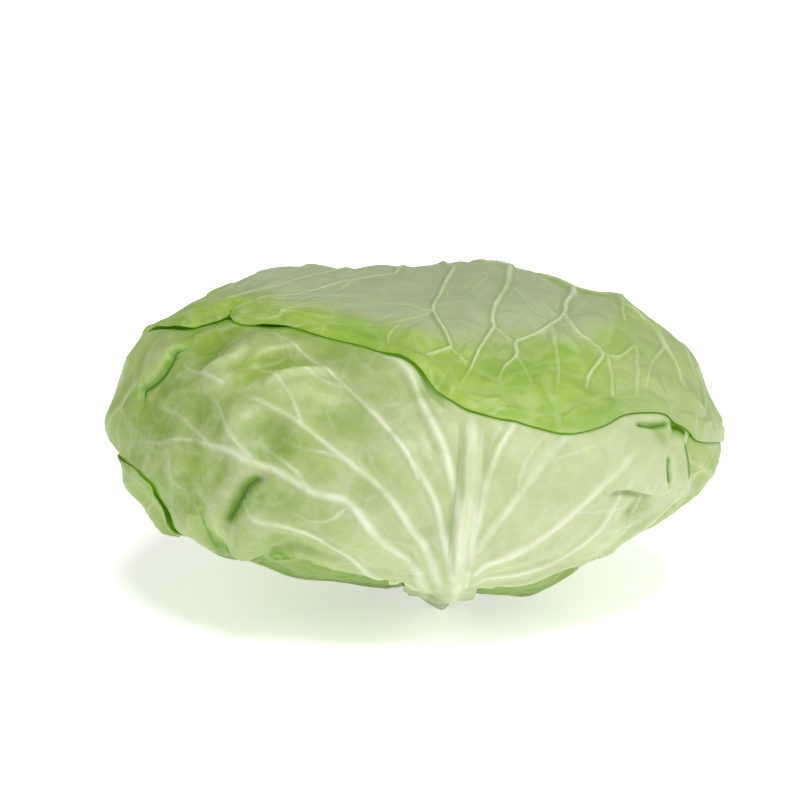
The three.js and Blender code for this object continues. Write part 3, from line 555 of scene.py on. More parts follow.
# The leaves from the innermost out. Margins are (angle, far) in degrees in the leaf's chart.
leafSettings = [
    {
        "name": "lower_back_leaf", "azimuth": -152, "elevation": -38, "cells": (120, 120), "seed": 3,
        "slot": "lower_leaf", "fan": (5, 0.7, 200),
        "margin": [(-90, 41), (-50, 41), (-15, 47), (20, 48), (60, 44), (90, 46), (125, 46), (165, 48),
                   (-140, 42)],
    },
    {
        "name": "lower_left_leaf", "azimuth": -48, "elevation": -36, "cells": (150, 150), "seed": 5,
        "slot": "lower_leaf", "fan": (5, 0.7, 200), "lip": 1.4, "ripple": 0.9, "loose": 0.7,
        "margin": [(-90, 42), (-55, 42), (-20, 40), (20, 40), (60, 43), (100, 46), (140, 48), (175, 46),
                   (-140, 42)],
    },
    {
        "name": "lower_right_leaf", "azimuth": 44, "elevation": -38, "cells": (140, 140), "seed": 8,
        "slot": "lower_leaf", "fan": (5, 0.7, 200),
        "margin": [(-90, 40), (-50, 42), (-15, 44), (20, 46), (60, 46), (100, 44), (140, 40), (175, 37),
                   (-130, 38)],
    },
    {
        "name": "right_leaf", "azimuth": 112, "elevation": -6, "cells": (210, 210), "seed": 13,
        "slot": "side_leaf", "fan": (6, 0.8, 200),
        "margin": [(-90, 70), (-68, 62), (-40, 58), (-10, 60), (25, 56), (60, 50), (90, 48), (120, 54),
                   (150, 60), (-175, 62), (-150, 62), (-115, 62)],
        "feet": [(112, -76, 4, 10)],
        "lifts": [((716, 464), 2.0, 9, 9), ((706, 485), 2.2, 10, 10)],
    },
    {
        "name": "front_leaf", "azimuth": 2, "elevation": -4, "cells": (310, 250), "towardTip": -0.35,
        "seed": 21, "slot": "front_leaf", "drawn": frontVeins, "net": 12.0, "pillow": 0.35, "line": (0.42, 2),
        "farPale": 0.3,
        "margin": [(-90, 77.5), (-96, 76), (-98.5, 56), (-105, 38), (-83.5, 76), (-81.5, 56), (-75, 41),
                   (25, 78), (55, 68), (85, 66), (108, 78), (125, 96), (140, 108), (150, 108), (160, 104),
                   (168, 99), (174, 92), (179, 83), (-144.5, 33), (-146.2, 43), (-147.8, 51), (-149.5, 60),
                   (-152, 68), (-157, 70), (-165, 72), (-173, 76)],
        "seenMargin": [(405, 582), (388, 578), (341, 570), (315, 563),
                       (690, 442), (693, 458), (695, 475), (692, 493), (676, 505), (640, 531), (612, 552),
                       (590, 563), (560, 575), (530, 586), (500, 590), (478, 589)],
        "leftSwell": 1.6, "rightSwell": 0.6, "leftCrease": 1.7, "rightCrease": 0.5,
        "feet": [(-2, -79, 6.0, 9.5)],
        "folds": [
            (5.4, -16, 4.2, [(266, 468), (262, 470), (250, 473), (240, 480), (233, 490), (228, 500),
             (224, 510), (219, 523), (217, 534)]),
            (3.5, -12, 5, [(195, 503), (201, 515), (208, 530), (214, 546), (220, 556)]),
            (2.3, -13, 3.2, [(188, 344), (170, 356), (167, 364), (153, 381), (141, 391), (134, 412)]),
            (3.4, -9, 2.5, [(395, 358), (409, 366), (417, 375), (423, 384), (433, 398), (443, 412)]),
            (3.7, 12, 1.6, [(606, 492), (627, 488), (640, 490), (656, 493), (672, 490)]),
            (2.8, -5, 2.0, [(617, 420), (640, 417), (660, 416), (676, 418)]),
            (2.9, 12, 3.5, [(245, 372), (262, 362), (282, 352), (300, 346)]),
            (3.0, 12, 3.5, [(262, 392), (285, 381), (315, 374), (338, 373)]),
            (2.7, 10, 3, [(196, 378), (215, 374), (236, 366), (250, 356)]),
            (1.9, 12, 4, [(150, 405), (175, 398), (205, 394), (232, 396)]),
        ],
        "lifts": [
            ((432, 388), -4.8, 8, 8), ((250, 525), 5.4, 11, 11), ((243, 545), 6.7, 8, 8),
            ((238, 506), -2.4, 7, 6), ((188, 524), 3.8, 7, 7), ((250, 356), 1.4, 12, 12),
            ((258, 368), -3.5, 6, 11), ((225, 385), 2.6, 10, 10), ((292, 366), -3.2, 6, 13),
            ((300, 400), 2.6, 12, 12), ((200, 360), -2.6, 7, 7), ((195, 425), -2.9, 9, 12),
            ((268, 438), -3.2, 8, 8), ((243, 425), 3.2, 7, 7), ((180, 458), 2.9, 9, 9),
            ((222, 470), -2.4, 7, 7), ((300, 470), -2.1, 9, 9), ((650, 462), 2.8, 12, 12),
            ((640, 507), -3.0, 7, 7), ((600, 540), 1.8, 9, 9), ((665, 436), -2.3, 6, 6),
        ],
        "grooves": [
            (2.2, 1.9, 0.3, 2.0, [(188, 344), (170, 356), (167, 364), (153, 381), (141, 391), (134, 412)]),
            (2.6, 2.2, 0.35, 2.7, [(264, 470), (251, 474), (241, 481), (234, 491), (229, 501), (225, 512),
             (222, 521)]),
            (3.6, 3.4, -0.1, 0, [(200, 506), (204, 520), (211, 536), (219, 550)]),
            (2.0, 1.8, 0.1, 0, [(220, 542), (227, 552), (235, 558), (246, 560), (257, 557), (266, 551)]),
            (4.0, 3.2, 0.0, 0, [(266, 557), (275, 551), (284, 553), (292, 559)]),
            (2.0, 3.2, 0.0, 0, [(274, 559), (281, 556), (287, 559)]),
            (6.5, 2.6, 1.0, 0, [(675, 427), (681, 430), (687, 437)]),
            (2.8, 1.1, 0.4, 0, [(672, 457), (669, 470), (669, 488)]),
            (2.8, 1.2, 0.4, 0, [(685, 441), (688, 456), (690, 472), (689, 480)]),
            (2.2, 1.1, 0.25, 0, [(636, 427), (654, 427), (676, 424)]),
            (2.2, 1.3, -0.9, 0, [(612, 493), (627, 491), (640, 494), (654, 496)]),
            (1.9, 1.7, -0.9, 0, [(447, 570), (450, 545), (453, 520), (456, 498), (459, 465), (460, 425)]),
            (1.0, 2.6, -1.2, 0, [(432, 584), (434, 570), (433, 555), (430, 540)]),
            (1.4, 1.5, -1.4, 0, [(474, 560), (479, 520), (484, 490), (490, 455), (497, 425)]),
        ],
    },
    {
        "name": "left_leaf", "azimuth": -118, "elevation": -8, "cells": (220, 220), "seed": 34,
        "slot": "side_leaf", "fan": (6, 0.8, 200), "lip": 1.2, "ripple": 0.9, "loose": 0.5,
        "margin": [(-90, 68), (-70, 60), (-50, 52), (-30, 46.5), (-24, 52), (-15, 59), (-9.8, 60), (0, 59),
                   (5, 60.5), (8, 57), (10.5, 50), (14, 38), (20, 31), (30, 28.5), (43, 30), (55, 33),
                   (70, 39), (84, 44), (100, 48), (125, 50), (155, 50), (-175, 48), (-145, 52), (-115, 62)],
        "feet": [(-118, -76, 4, 10), (-118, -69, 4, 11)],
        "lifts": [
            ((140, 497), 3.0, 9, 9), ((155, 514), 3.0, 8, 8), ((168, 530), 2.4, 7, 7),
            ((126, 480), 2.2, 9, 9),
        ],
    },
    {
        "name": "crown_leaf", "azimuth": 172, "elevation": 42, "cells": (310, 250), "towardTip": 0.45,
        "seed": 55, "slot": "crown_leaf", "ridges": 1.4, "drawn": crownVeins, "fan": (6, 0.15, 14),
        "net": 15.0, "pillow": 1.5, "between": 1.5, "line": (0.36, 3), "waves": 0.0, "lip": 0.3,
        "ripple": 0.25, "leftCrease": 0.5, "rightCrease": 0.5,
        "margin": [(-90, 121), (-80, 112), (-65, 98), (-40, 86), (-15, 76), (8, 66), (-165, 88), (-140, 90),
                   (-115, 98), (-100, 112)],
        "seenMargin": [(155, 331), (171, 329), (187, 326), (196, 322), (217, 316), (223, 311), (230, 320),
                       (245, 323), (258, 324), (288, 325), (313, 332), (338, 338), (364, 345), (385, 353),
                       (402, 358), (420, 370), (439, 389), (451, 399), (463, 408), (470, 412), (500, 419),
                       (520, 423), (545, 430), (568, 435), (587, 433), (610, 426), (624, 418), (650, 415),
                       (669, 416), (680, 424), (690, 432), (702, 442), (720, 443)],
        "feet": [(172, -76, 3, 10)],
        "lifts": [
            ((200, 319), 1.4, 6, 9), ((676, 392), 1.6, 8, 8), ((690, 408), 1.2, 6, 6),
            ((672, 400), 1.0, 5, 5),
        ],
        "folds": [
            (0.9, 7, 2, [(180, 322), (230, 305), (300, 292), (380, 290)]),
            (0.8, 5, 2, [(165, 326), (200, 312), (245, 304), (310, 303)]),
            (0.6, 5, 2, [(235, 315), (290, 313), (350, 322), (400, 326)]),
            (1.4, -16, 3, [(639, 311), (667, 350), (690, 400)]),
        ],
    },
]


# A picture laid over a leaf's chart, which holds one value for each place.
class ChartGrid:
    step = 0.8  # degrees

    def __init__(self, leaf):
        self.half = leaf.reach(np.arange(0, 360, 2)).max() + 7
        self.count = int(2 * self.half / self.step) + 1
        ticks = np.linspace(-self.half, self.half, self.count)
        self.x, self.y = (side.ravel() for side in np.meshgrid(ticks, ticks))

    def sample(self, values, x, y, beyond):
        scale = (self.count - 1) / (2 * self.half)
        i, j = (x + self.half) * scale, (y + self.half) * scale
        within = (i >= 0) & (j >= 0) & (i < self.count - 1) & (j < self.count - 1)
        i, j = np.where(within, i, 0), np.where(within, j, 0)
        left, low = i.astype(int), j.astype(int)
        s, t = i - left, j - low
        grid = values.reshape(self.count, self.count)
        found = ((grid[low, left] * (1 - s) + grid[low, left + 1] * s) * (1 - t)
                 + (grid[low + 1, left] * (1 - s) + grid[low + 1, left + 1] * s) * t)
        return np.where(within, found, beyond)

    # The highest value around each place, then smoothed within the same reach, so it never dips below.
    def drape(self, values, reach=2):
        grid = values.reshape(self.count, self.count)
        for axis in (0, 1):
            grid = np.max([np.roll(grid, shift, axis) for shift in range(-reach, reach + 1)], axis=0)
        for _ in range(2):
            for axis in (0, 1):
                shifts = range(-(reach // 2), reach // 2 + 1)
                grid = np.mean([np.roll(grid, shift, axis) for shift in shifts], axis=0)
        return grid.ravel()


# How the leaves lie over each other, in millimetres over the body.
layers = {
    "bare": -5.6,  # the heart's face
    "nominal": 1.4,  # where the inner face of a leaf lies that has none under it
    "gap": 0.08,
    "sink": 3.6,  # how much lower a leaf lies for each leaf over it
    "thick": 0.95,
    "marginThick": 0.4,
    "pressed": 0.9,  # share of the relief that is pressed flat under another leaf
    "crest": 124.0,  # height above which the leaves are pressed down
    "crestPress": 0.55,  # and by what share of what rises above it
    # how far inside its own margin a leaf's forms begin and are full
    "innerForms": (0, 6),
    "lip": (0, 9),
    "ripple": (0, 5),
    "fullThick": (0, 4),
    "standsOff": (-1, 8),
    "footHeld": (30, 60),  # a leaf keeps its own shape this near its base
    # the same from the margin of a leaf that lies over it
    "covered": (-6, 5),
    "sunk": (-1, 9),
    # where the painted shade lies, just outside and under the margin of a leaf over this one
    "shaded": (-1.2, 0.4),
}

# The broad bumps of the blade (height and size), its creases (rise, depth and size), and smaller ones.
bumps = {
    "broad": [(1.5, 46), (1.3, 21), (0.55, 10)],
    "crease": (0.8, 2.4, 26),
    "lipSize": 24,
    "rippleSize": 7,
    "netWide": 1.1,
}


# What holds for the midrib, the side veins and the forks of every leaf, in that order, and for all veins.
veinShape = {
    "reach": (15, 15, 6),  # how far from the vein the blade feels it, in millimetres
    "pale": (1.0, 0.95, 0.5),
    "taper": 0.6,  # below 1 a vein narrows early
    "runsOut": (0.86, 1.0),  # the share of its length over which it ends
    "midribRounds": (0.15, 0.45),  # and over which the midrib's tent turns into a round ridge
    "swellFrom": 1.5,
}


# The ridges of the veins, the blade's swelling between them, masks for their colour, and a mask for the
# painted shade beside them.
def veinForms(leaf, points):
    ridge = np.zeros(len(points))
    line = np.zeros(len(points))
    halo = np.zeros(len(points))
    veinSideShade = np.zeros(len(points))
    farthest = veinShape["reach"][0]
    apart = np.full(len(points), float(farthest))
    sharp, power = leaf.settings["line"]
    for rib in leaf.veins:
        rank = rib["rank"]
        spots, far, share, _ = nearLine(points, rib["line"], veinShape["reach"][rank])
        taper = share ** rib.get("taper", veinShape["taper"])
        wide = mix(*rib["wide"], taper)
        fade = 1 - smoothStep(share, *veinShape["runsOut"])
        high = leaf.settings["ridges"] * mix(*rib["high"], taper) * fade
        shape = np.exp(-1.2 * (far / wide) ** 2)
        if rank == 0:
            tent = np.clip(1 - far / (2.4 * wide), 0, 1)
            rounded = smoothStep(share, *veinShape["midribRounds"])
            shape = mix(np.maximum(shape, tent), 1 / (1 + (far / wide) ** 4), rounded)
        elif rank == 1:
            shape = shape * smoothStep(share, 0, 0.2)
        ridge[spots] = np.maximum(ridge[spots], high * shape)
        strength = veinShape["pale"][rank] * fade * mix(1, leaf.settings["farPale"], share)
        line[spots] = np.maximum(line[spots], strength * np.exp(-(far / (sharp * wide + 0.22)) ** power))
        halo[spots] = np.maximum(halo[spots], strength * np.exp(-far / (2.2 * wide + 1.5)))
        veinSideShade[spots] = np.maximum(veinSideShade[spots], strength * np.exp(-((far - 0.7 * wide - 0.5) / 0.6) ** 2))
        if rank < 2:
            apart[spots] = np.minimum(apart[spots], far + farthest * (1 - fade))
    return ridge, line, halo, veinSideShade, smoothStep(apart, veinShape["swellFrom"], farthest)


# Folds fall off slowly on their open side and steeply on the other, grooves are narrow dents with a painted
# shadow line along them, and lifts are bulges or dents. Each place also gets how far it is from the painted
# shadow line of the nearest groove, below 0 on one side, and darkHalf is half the width of that painted
# shadow there.
def foldForms(leaf, points):
    height = np.zeros(len(points))
    creaseShadow = np.full(len(points), 3.0)
    darkHalf = np.full(len(points), -9.0)
    nearest = np.full(len(points), 7.0)
    for deep, wide, dark, shift, places in leaf.settings["grooves"]:
        spots, far, share, side = nearLine(points, seenLine(places), max(3 * wide + 1, 7))
        fade = np.sin(math.pi * np.clip(share, 0, 1)) ** 0.5
        beside = far * side - shift
        height[spots] -= deep * fade * np.exp(-(beside / wide) ** 2)
        darkHere = mix(-2.0, dark, smoothStep(np.minimum(share, 1 - share), 0, 0.14))
        near = far < nearest[spots]
        nearest[spots[near]] = far[near]
        creaseShadow[spots[near]] = np.clip(beside, -3, 3)[near]
        darkHalf[spots[near]] = mix(darkHere, -9, smoothStep(far, 4, 6.5))[near]
    for up, spread, steepWide, places in leaf.settings["folds"]:
        spots, far, share, side = nearLine(points, seenLine(places), max(abs(spread), 6))
        fade = np.sin(math.pi * np.clip(share, 0, 1)) ** 0.6
        slope = np.clip(1 - far / abs(spread), 0, 1) ** 1.6
        height[spots] += up * fade * np.where(side * spread > 0, slope, 1 - smoothStep(far, 0, steepWide))
    for place, up, reach, reachAcross in leaf.settings["lifts"]:
        offset = points - bodyPoint(seen([place]), 0)[0]
        height += up * np.exp(-((offset / [reachAcross, reach, reach]) ** 2).sum(axis=1))
    return height, creaseShadow, darkHalf


def footForms(leaf, points):
    height = np.zeros(len(points))
    for azimuth, elevation, up, radius in leaf.settings["feet"]:
        at = bodyPoint(direction(azimuth, elevation)[None], 0)[0]
        height += up * np.exp(-(np.linalg.norm(points - at, axis=1) / radius) ** 2)
    return height


# The inner and outer heights of a leaf at places of its chart, and what its finish needs to know there.
def leafFaces(leaf, x, y, over):
    toward = leaf.place(x, y)
    points = bodyPoint(toward, 0)
    edge = leaf.grid.sample(leaf.edge, x, y, -20)
    covered = np.zeros(len(points))
    sunk = np.zeros(len(points))
    under = np.zeros(len(points))
    for later in over:
        laterEdge = later.grid.sample(later.edge, *later.chart(toward), -20)
        covered = np.maximum(covered, smoothStep(laterEdge, *layers["covered"]))
        sunk += smoothStep(laterEdge, *layers["sunk"])
        under = np.maximum(under, smoothStep(laterEdge, *layers["shaded"]))
    shown = 1 - layers["pressed"] * covered
    settings = leaf.settings
    seed = settings["seed"]

    ridge, line, halo, veinSideShade, between = veinForms(leaf, points)
    border, cell = netCells(points, settings["net"], seed)
    pillow = settings["pillow"] * (0.6 + 0.7 * cell) * smoothStep(border, -1, 6)
    netRidge = settings["netHigh"] * np.exp(-border ** 2)
    rightward = smoothStep(points[:, 0], -80, 20)
    swell = mix(settings["leftSwell"], settings["rightSwell"], rightward)
    crease = mix(settings["leftCrease"], settings["rightCrease"], rightward)
    broadest, *smaller = [height * noiseAt(points, size, seed + i)
                          for i, (height, size) in enumerate(bumps["broad"])]
    rise, deep, size = bumps["crease"]
    broad = swell * (broadest + sum(smaller))
    broad += crease * (rise - deep * np.abs(noiseAt(points, size, seed + 7)))
    lip = settings["lip"] * (1 - smoothStep(edge, *layers["lip"]))
    lip = lip * (0.6 + 0.8 * noiseAt(points, bumps["lipSize"], seed + 4))
    ripple = settings["ripple"] * (1 - smoothStep(edge, *layers["ripple"]))
    ripple = ripple * noiseAt(points, bumps["rippleSize"], seed + 5)
    folded, creaseShadow, darkHalf = foldForms(leaf, points)
    forms = shown * (broad + folded + lip + ripple)

    drape = leaf.grid.sample(leaf.drape, x, y, layers["bare"]) + layers["gap"]
    wish = np.maximum(drape, layers["nominal"] - layers["sink"] * sunk) + forms
    foot = np.linalg.norm(points - leaf.rimPoints[0], axis=1)
    standsOff = np.maximum(smoothStep(edge, *layers["standsOff"]), 1 - smoothStep(foot, *layers["footHeld"]))
    wish = mix(drape, wish, np.maximum(standsOff, settings["loose"]))
    low = (drape + wish + np.sqrt((drape - wish) ** 2 + 0.25)) / 2
    thick = mix(layers["marginThick"], layers["thick"], smoothStep(edge, *layers["fullThick"]))
    swelling = (settings["between"] * between + pillow + netRidge) * smoothStep(edge, *layers["innerForms"])
    high = low + thick + shown * (ridge + swelling * (1 - 0.8 * halo)) + footForms(leaf, points)
    # What the skin reads. under marks painted shade at the margin of a leaf over this one, local is the
    # relief that the skin paints darker in dents and paler on bulges, and the groove distance places the
    # painted shadow lines.
    looks = {
        "line": line,
        "halo": halo,
        "veinSideShade": veinSideShade,
        "net": np.exp(-(border / bumps["netWide"]) ** 2),
        "cell": cell,
        "edge": np.clip(edge, 0, 40),
        "foot": foot,
        "under": under,
        "local": forms - shown * swell * broadest,
        "creaseShadow": creaseShadow,
        "open": darkHalf,
    }
    return toward, low, high, looks


# Lays a leaf over the ones under it: it rests on the highest of their outer faces.
def layLeaf(leaf, under, over):
    grid = leaf.grid
    toward = leaf.place(grid.x, grid.y)
    cover = np.full(len(toward), layers["bare"])
    for lower in under:
        x, y = lower.chart(toward)
        cover = np.maximum(cover, lower.grid.sample(lower.outer, x, y, layers["bare"]))
    leaf.drape = grid.drape(cover)
    _, _, high, _ = leafFaces(leaf, grid.x, grid.y, over)
    leaf.outer = np.where(leaf.edge > -0.6, high, layers["bare"])


def toBlender(name, points, faces, looks=None):
    mesh = bpy.data.meshes.new(name)
    mesh.from_pydata((points * mm).tolist(), [], faces)
    for key, values in (looks or {}).items():
        mesh.attributes.new(key, "FLOAT", "POINT").data.foreach_set("value", values.astype(np.float32))
    mesh.shade_smooth()
    mesh.validate()
    piece = bpy.data.objects.new(name, mesh)
    bpy.context.collection.objects.link(piece)
    return piece


# The points of a leaf's face, no lower than the resting plane and pressed down at the crest.
def facePoints(toward, height, floor):
    points = bodyPoint(toward, height)
    above = np.maximum(points[:, 2] - layers["crest"], 0)
    points[:, 2] = np.maximum(points[:, 2] - layers["crestPress"] * above, floor)
    return points


# The outer face is a fine grid, the inner face takes every second point of it, and a narrow rim joins them.
def leafPiece(leaf, over):
    columns, rows = leaf.settings["cells"]
    x, y = leaf.gridPlaces()
    toward, low, high, looks = leafFaces(leaf, x, y, over)
    outer = facePoints(toward, high, restPlane)
    number = np.arange(len(x)).reshape(rows + 1, columns + 1)
    coarse = number[::2, ::2]
    inner = facePoints(toward[coarse.ravel()], low[coarse.ravel()], restPlane + 0.3)
    back = len(x) + np.arange(coarse.size).reshape(coarse.shape)

    def quads(grid, flip):
        corners = [grid[:-1, :-1], grid[:-1, 1:], grid[1:, 1:], grid[1:, :-1]]
        if flip:
            corners.reverse()
        return np.stack([corner.ravel() for corner in corners], axis=1).tolist()

    def loop(grid):
        return np.concatenate([grid[0, :-1], grid[:-1, -1], grid[-1, :0:-1], grid[:0:-1, 0]])

    faces = quads(number, False) + quads(back, True)
    fine, rough = loop(number), loop(back)
    for k in range(len(rough)):
        first, second, third = fine[2 * k], fine[2 * k + 1], fine[(2 * k + 2) % len(fine)]
        near, far = rough[k], rough[(k + 1) % len(rough)]
        faces += [[second, first, near], [second, near, far], [third, second, far]]
    looks = {key: np.concatenate([values, values[coarse.ravel()]]) for key, values in looks.items()}
    return toBlender(leaf.name + "_blade", np.vstack([outer, inner]), faces, looks)


leaves = [Leaf(settings) for settings in leafSettings]
for leaf in leaves:
    leaf.grid = ChartGrid(leaf)
    places = bodyPoint(leaf.place(leaf.grid.x, leaf.grid.y), 0)
    leaf.edge = leaf.edgeDistance(places, leaf.grid.x, leaf.grid.y)
    leaf.veins = drawnVeins(leaf)
    if leaf.settings["fan"]:
        leaf.veins += fanVeins(leaf, *leaf.settings["fan"])
print("margins and veins drawn")

for order, leaf in enumerate(leaves):
    layLeaf(leaf, leaves[:order], leaves[order + 1:])
print("leaves laid over each other")

blades = {}
for order, leaf in enumerate(leaves):
    blade = leafPiece(leaf, leaves[order + 1:])
    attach(blade, "root")
    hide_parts(leaf.name)
    blades[leaf.name] = blade
print("leaf blades meshed")


# The tight heart: inner leaves wound one over the next. It shows only in gaps between the outer leaves.
heartShape = {
    "around": 180,
    "rings": 120,
    "wound": 5,
    "face": -7.4,  # where the inner leaves lie, over the body
    "highest": -6.3,
    "lowest": 9,  # height over the cut face
    "edge": 1.4,  # how far a leaf's face sinks before the next one's edge
    "edgeShare": 0.03,  # share of a leaf's width over which that edge rises
    "ribHigh": 0.45,
    "bumpHigh": 0.5,
    "bumpSize": 14,
    "socketGap": 0.4,
    "mouthElevation": -80,
}
# The stem as cut: radius and height from the cut face, the stump, the collar and the tapering core.
stemShape = {
    "profile": [(5.6, 0), (6.2, 0.8), (8.5, 5), (13, 11), (19, 14.6), (27, 15.8), (27.5, 17), (19, 24),
                (12, 38), (6, 52), (0.6, 56)],
    "tip": 56.2,
    "socketFrom": 6,  # the first of these places that the heart closes round
    "around": 160,
    "cutRings": (0.6, 5.3, 9),  # radius of the first and the last, and how many
    "ringHigh": 0.12,
    "ringTurn": 2.2,
    "fibre": 0.35,
    "fibreSize": 3.5,
}


# A level ring of points round the stem's axis.
def levelRing(radius, up, around):
    angles = np.arange(around) * 2 * math.pi / around
    return np.stack([radius * np.sin(angles), -radius * np.cos(angles), np.full(around, up)], axis=1)


# A closed skin from rings of points, with a point at each end.
def ringSkin(name, rings, first, last, looks=None):
    around = len(rings[0])
    points = np.vstack([[first], *rings, [last]])
    faces = []
    for i in range(around):
        k = (i + 1) % around
        faces.append([0, 1 + k, 1 + i])
        for j in range(len(rings) - 1):
            low, high = 1 + j * around, 1 + (j + 1) * around
            faces.append([low + i, low + k, high + k, high + i])
        top = 1 + (len(rings) - 1) * around
        faces.append([top + i, top + k, len(points) - 1])
    return toBlender(name, points, faces, looks)


def heartPiece():
    around = heartShape["around"]
    azimuths = np.arange(around) * 360 / around
    gap = heartShape["socketGap"]
    rings = []
    edgeShare = heartShape["edgeShare"]
    socket = [(radius + gap, up + gap) for radius, up in stemShape["profile"][stemShape["socketFrom"]:]]
    for radius, up in reversed(socket):
        rings.append(levelRing(radius, up, around))
    for elevation in np.linspace(heartShape["mouthElevation"], 89, heartShape["rings"]):
        toward = np.array([direction(azimuth, elevation) for azimuth in azimuths])
        turn = azimuths * heartShape["wound"] / 360 + elevation / 70
        step = turn - np.floor(turn)
        step = np.where(step > 1 - edgeShare, (1 - step) / edgeShare, step)
        step *= math.cos(math.radians(elevation))
        rib = heartShape["ribHigh"] * np.maximum(0, np.cos(np.radians(azimuths * 7 + elevation))) ** 8
        bump = heartShape["bumpHigh"] * noiseAt(bodyPoint(toward, 0), heartShape["bumpSize"], 91)
        height = heartShape["face"] - heartShape["edge"] * step + rib + bump
        ring = bodyPoint(toward, np.minimum(height, heartShape["highest"]))
        ring[:, 2] = np.maximum(ring[:, 2], heartShape["lowest"])
        rings.append(ring)
    first = np.array([0, 0, socket[-1][1] + 0.3])
    last = bodyPoint(direction(0, 90)[None], heartShape["face"])[0]
    return ringSkin("heart_leaves", rings, first, last)


def stemPiece():
    around = stemShape["around"]
    rings = []
    for radius in np.linspace(*stemShape["cutRings"]):
        up = stemShape["ringHigh"] * max(0, math.sin(radius * stemShape["ringTurn"])) if radius < 5 else 0
        rings.append(levelRing(radius, up, around))
    for radius, up in smoothLine(stemShape["profile"], 5):
        ring = levelRing(radius, max(up, 0.0), around)
        if up > 0.5:
            fibres = stemShape["fibre"] * (noiseAt(ring * [1, 1, 0.2], stemShape["fibreSize"], 71) - 1)
            ring[:, :2] *= (1 + fibres / max(radius, 3))[:, None]
        rings.append(ring)
    return ringSkin("stem_core", rings, np.zeros(3), np.array([0, 0, stemShape["tip"]]))


heart = heartPiece()
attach(heart, "root")
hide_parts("heart")
stem = stemPiece()
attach(stem, "root")
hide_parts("stem")
print("heart and stem meshed")


def linear(colour):
    channels = [int(colour[i:i + 2], 16) / 255 for i in (1, 3, 5)]
    return [c / 12.92 if c <= 0.04045 else ((c + 0.055) / 1.055) ** 2.4 for c in channels] + [1.0]


# Adds a node with its settings, its inputs' values and its links from other nodes' outputs.
def add(tree, kind, settings=None, **inputs):
    node = tree.nodes.new(kind)
    for key, value in (settings or {}).items():
        setattr(node, key, value)
    for key, value in inputs.items():
        name = key.replace("_", " ")
        socket = node.inputs[int(key[1:])] if key[0] == "i" and key[1:].isdigit() else node.inputs[name]
        if isinstance(value, bpy.types.NodeSocket):
            tree.links.new(value, socket)
        else:
            socket.default_value = value
    return node


# What holds for every leaf's skin where it doesn't say otherwise: sRGB colours, how strongly each detail
# shows, and the sizes of the patches in millimetres.
# Of these colours, deep is the green of painted shade and of the painted glow, the darkest green is the
# painted shadow line of the grooves, and the bloom grey is partly wax bloom, partly painted sheen.
plainFinish = {
    "deep": "#497A07", "creaseShadow": "#2E4D05", "bloomAndSheen": "#929E7C", "bloomAndSheenShare": 0.25, "ribShare": 0.5,
    "netShare": 0.08, "lineShare": 0.7, "lowShade": 0.6, "rightPale": 0.0, "rightBloomAndSheen": 0.0, "streaks": 0.0,
    "veinSideShadeShare": 0.15, "mottle": 34, "speckle": 6, "haloPatch": 18, "bloomAndSheenPatch": 22, "pleat": 2.6,
    "dullPatch": 9, "grain": 1.6, "bump": 0.45, "waxDull": (0.38, 0.52),
}
leafFinishes = {
    "crown_leaf": {
        "blade": "#8BA343", "shade": "#72922A", "pale": "#A3B06F", "vein": "#C6CCB4", "deep": "#4D7A0D",
        "bloomAndSheen": "#989F85", "bloomAndSheenShare": 0.8, "ribShare": 0.3, "netShare": 0.1, "lineShare": 0.65,
        "streaks": 0.2, "rightBloomAndSheen": 0.45, "veinSideShadeShare": 0.5, "lowShade": 0.0,
    },
    "front_leaf": {
        "blade": "#849A3E", "shade": "#688428", "pale": "#B6BB9A", "vein": "#D8D9CE", "deep": "#56830E",
        "bloomAndSheen": "#9AA37E", "bloomAndSheenShare": 0.1, "ribShare": 0.85, "netShare": 0.06, "lineShare": 0.75,
        "rightPale": 0.55, "lowShade": 0.35,
    },
    "left_leaf": {"blade": "#82983F", "shade": "#698526", "pale": "#94A35C", "vein": "#AEB585"},
    "right_leaf": {"blade": "#889D48", "shade": "#6F8A2C", "pale": "#9DA968", "vein": "#B2B78E"},
    "lower_leaf": {
        "blade": "#758D33", "shade": "#5F7D20", "pale": "#93A05D", "vein": "#AEB38A", "bloomAndSheenShare": 0.1,
        "ribShare": 0.3, "lineShare": 0.6, "lowShade": 0.8,
    },
}


# A new material with an empty tree, and the piece's own place to lay its patterns in.
def newSkin(name):
    material = bpy.data.materials.new(name)
    material.use_nodes = True
    tree = material.node_tree
    tree.nodes.clear()
    return material, tree, add(tree, "ShaderNodeTexCoord").outputs["Object"]
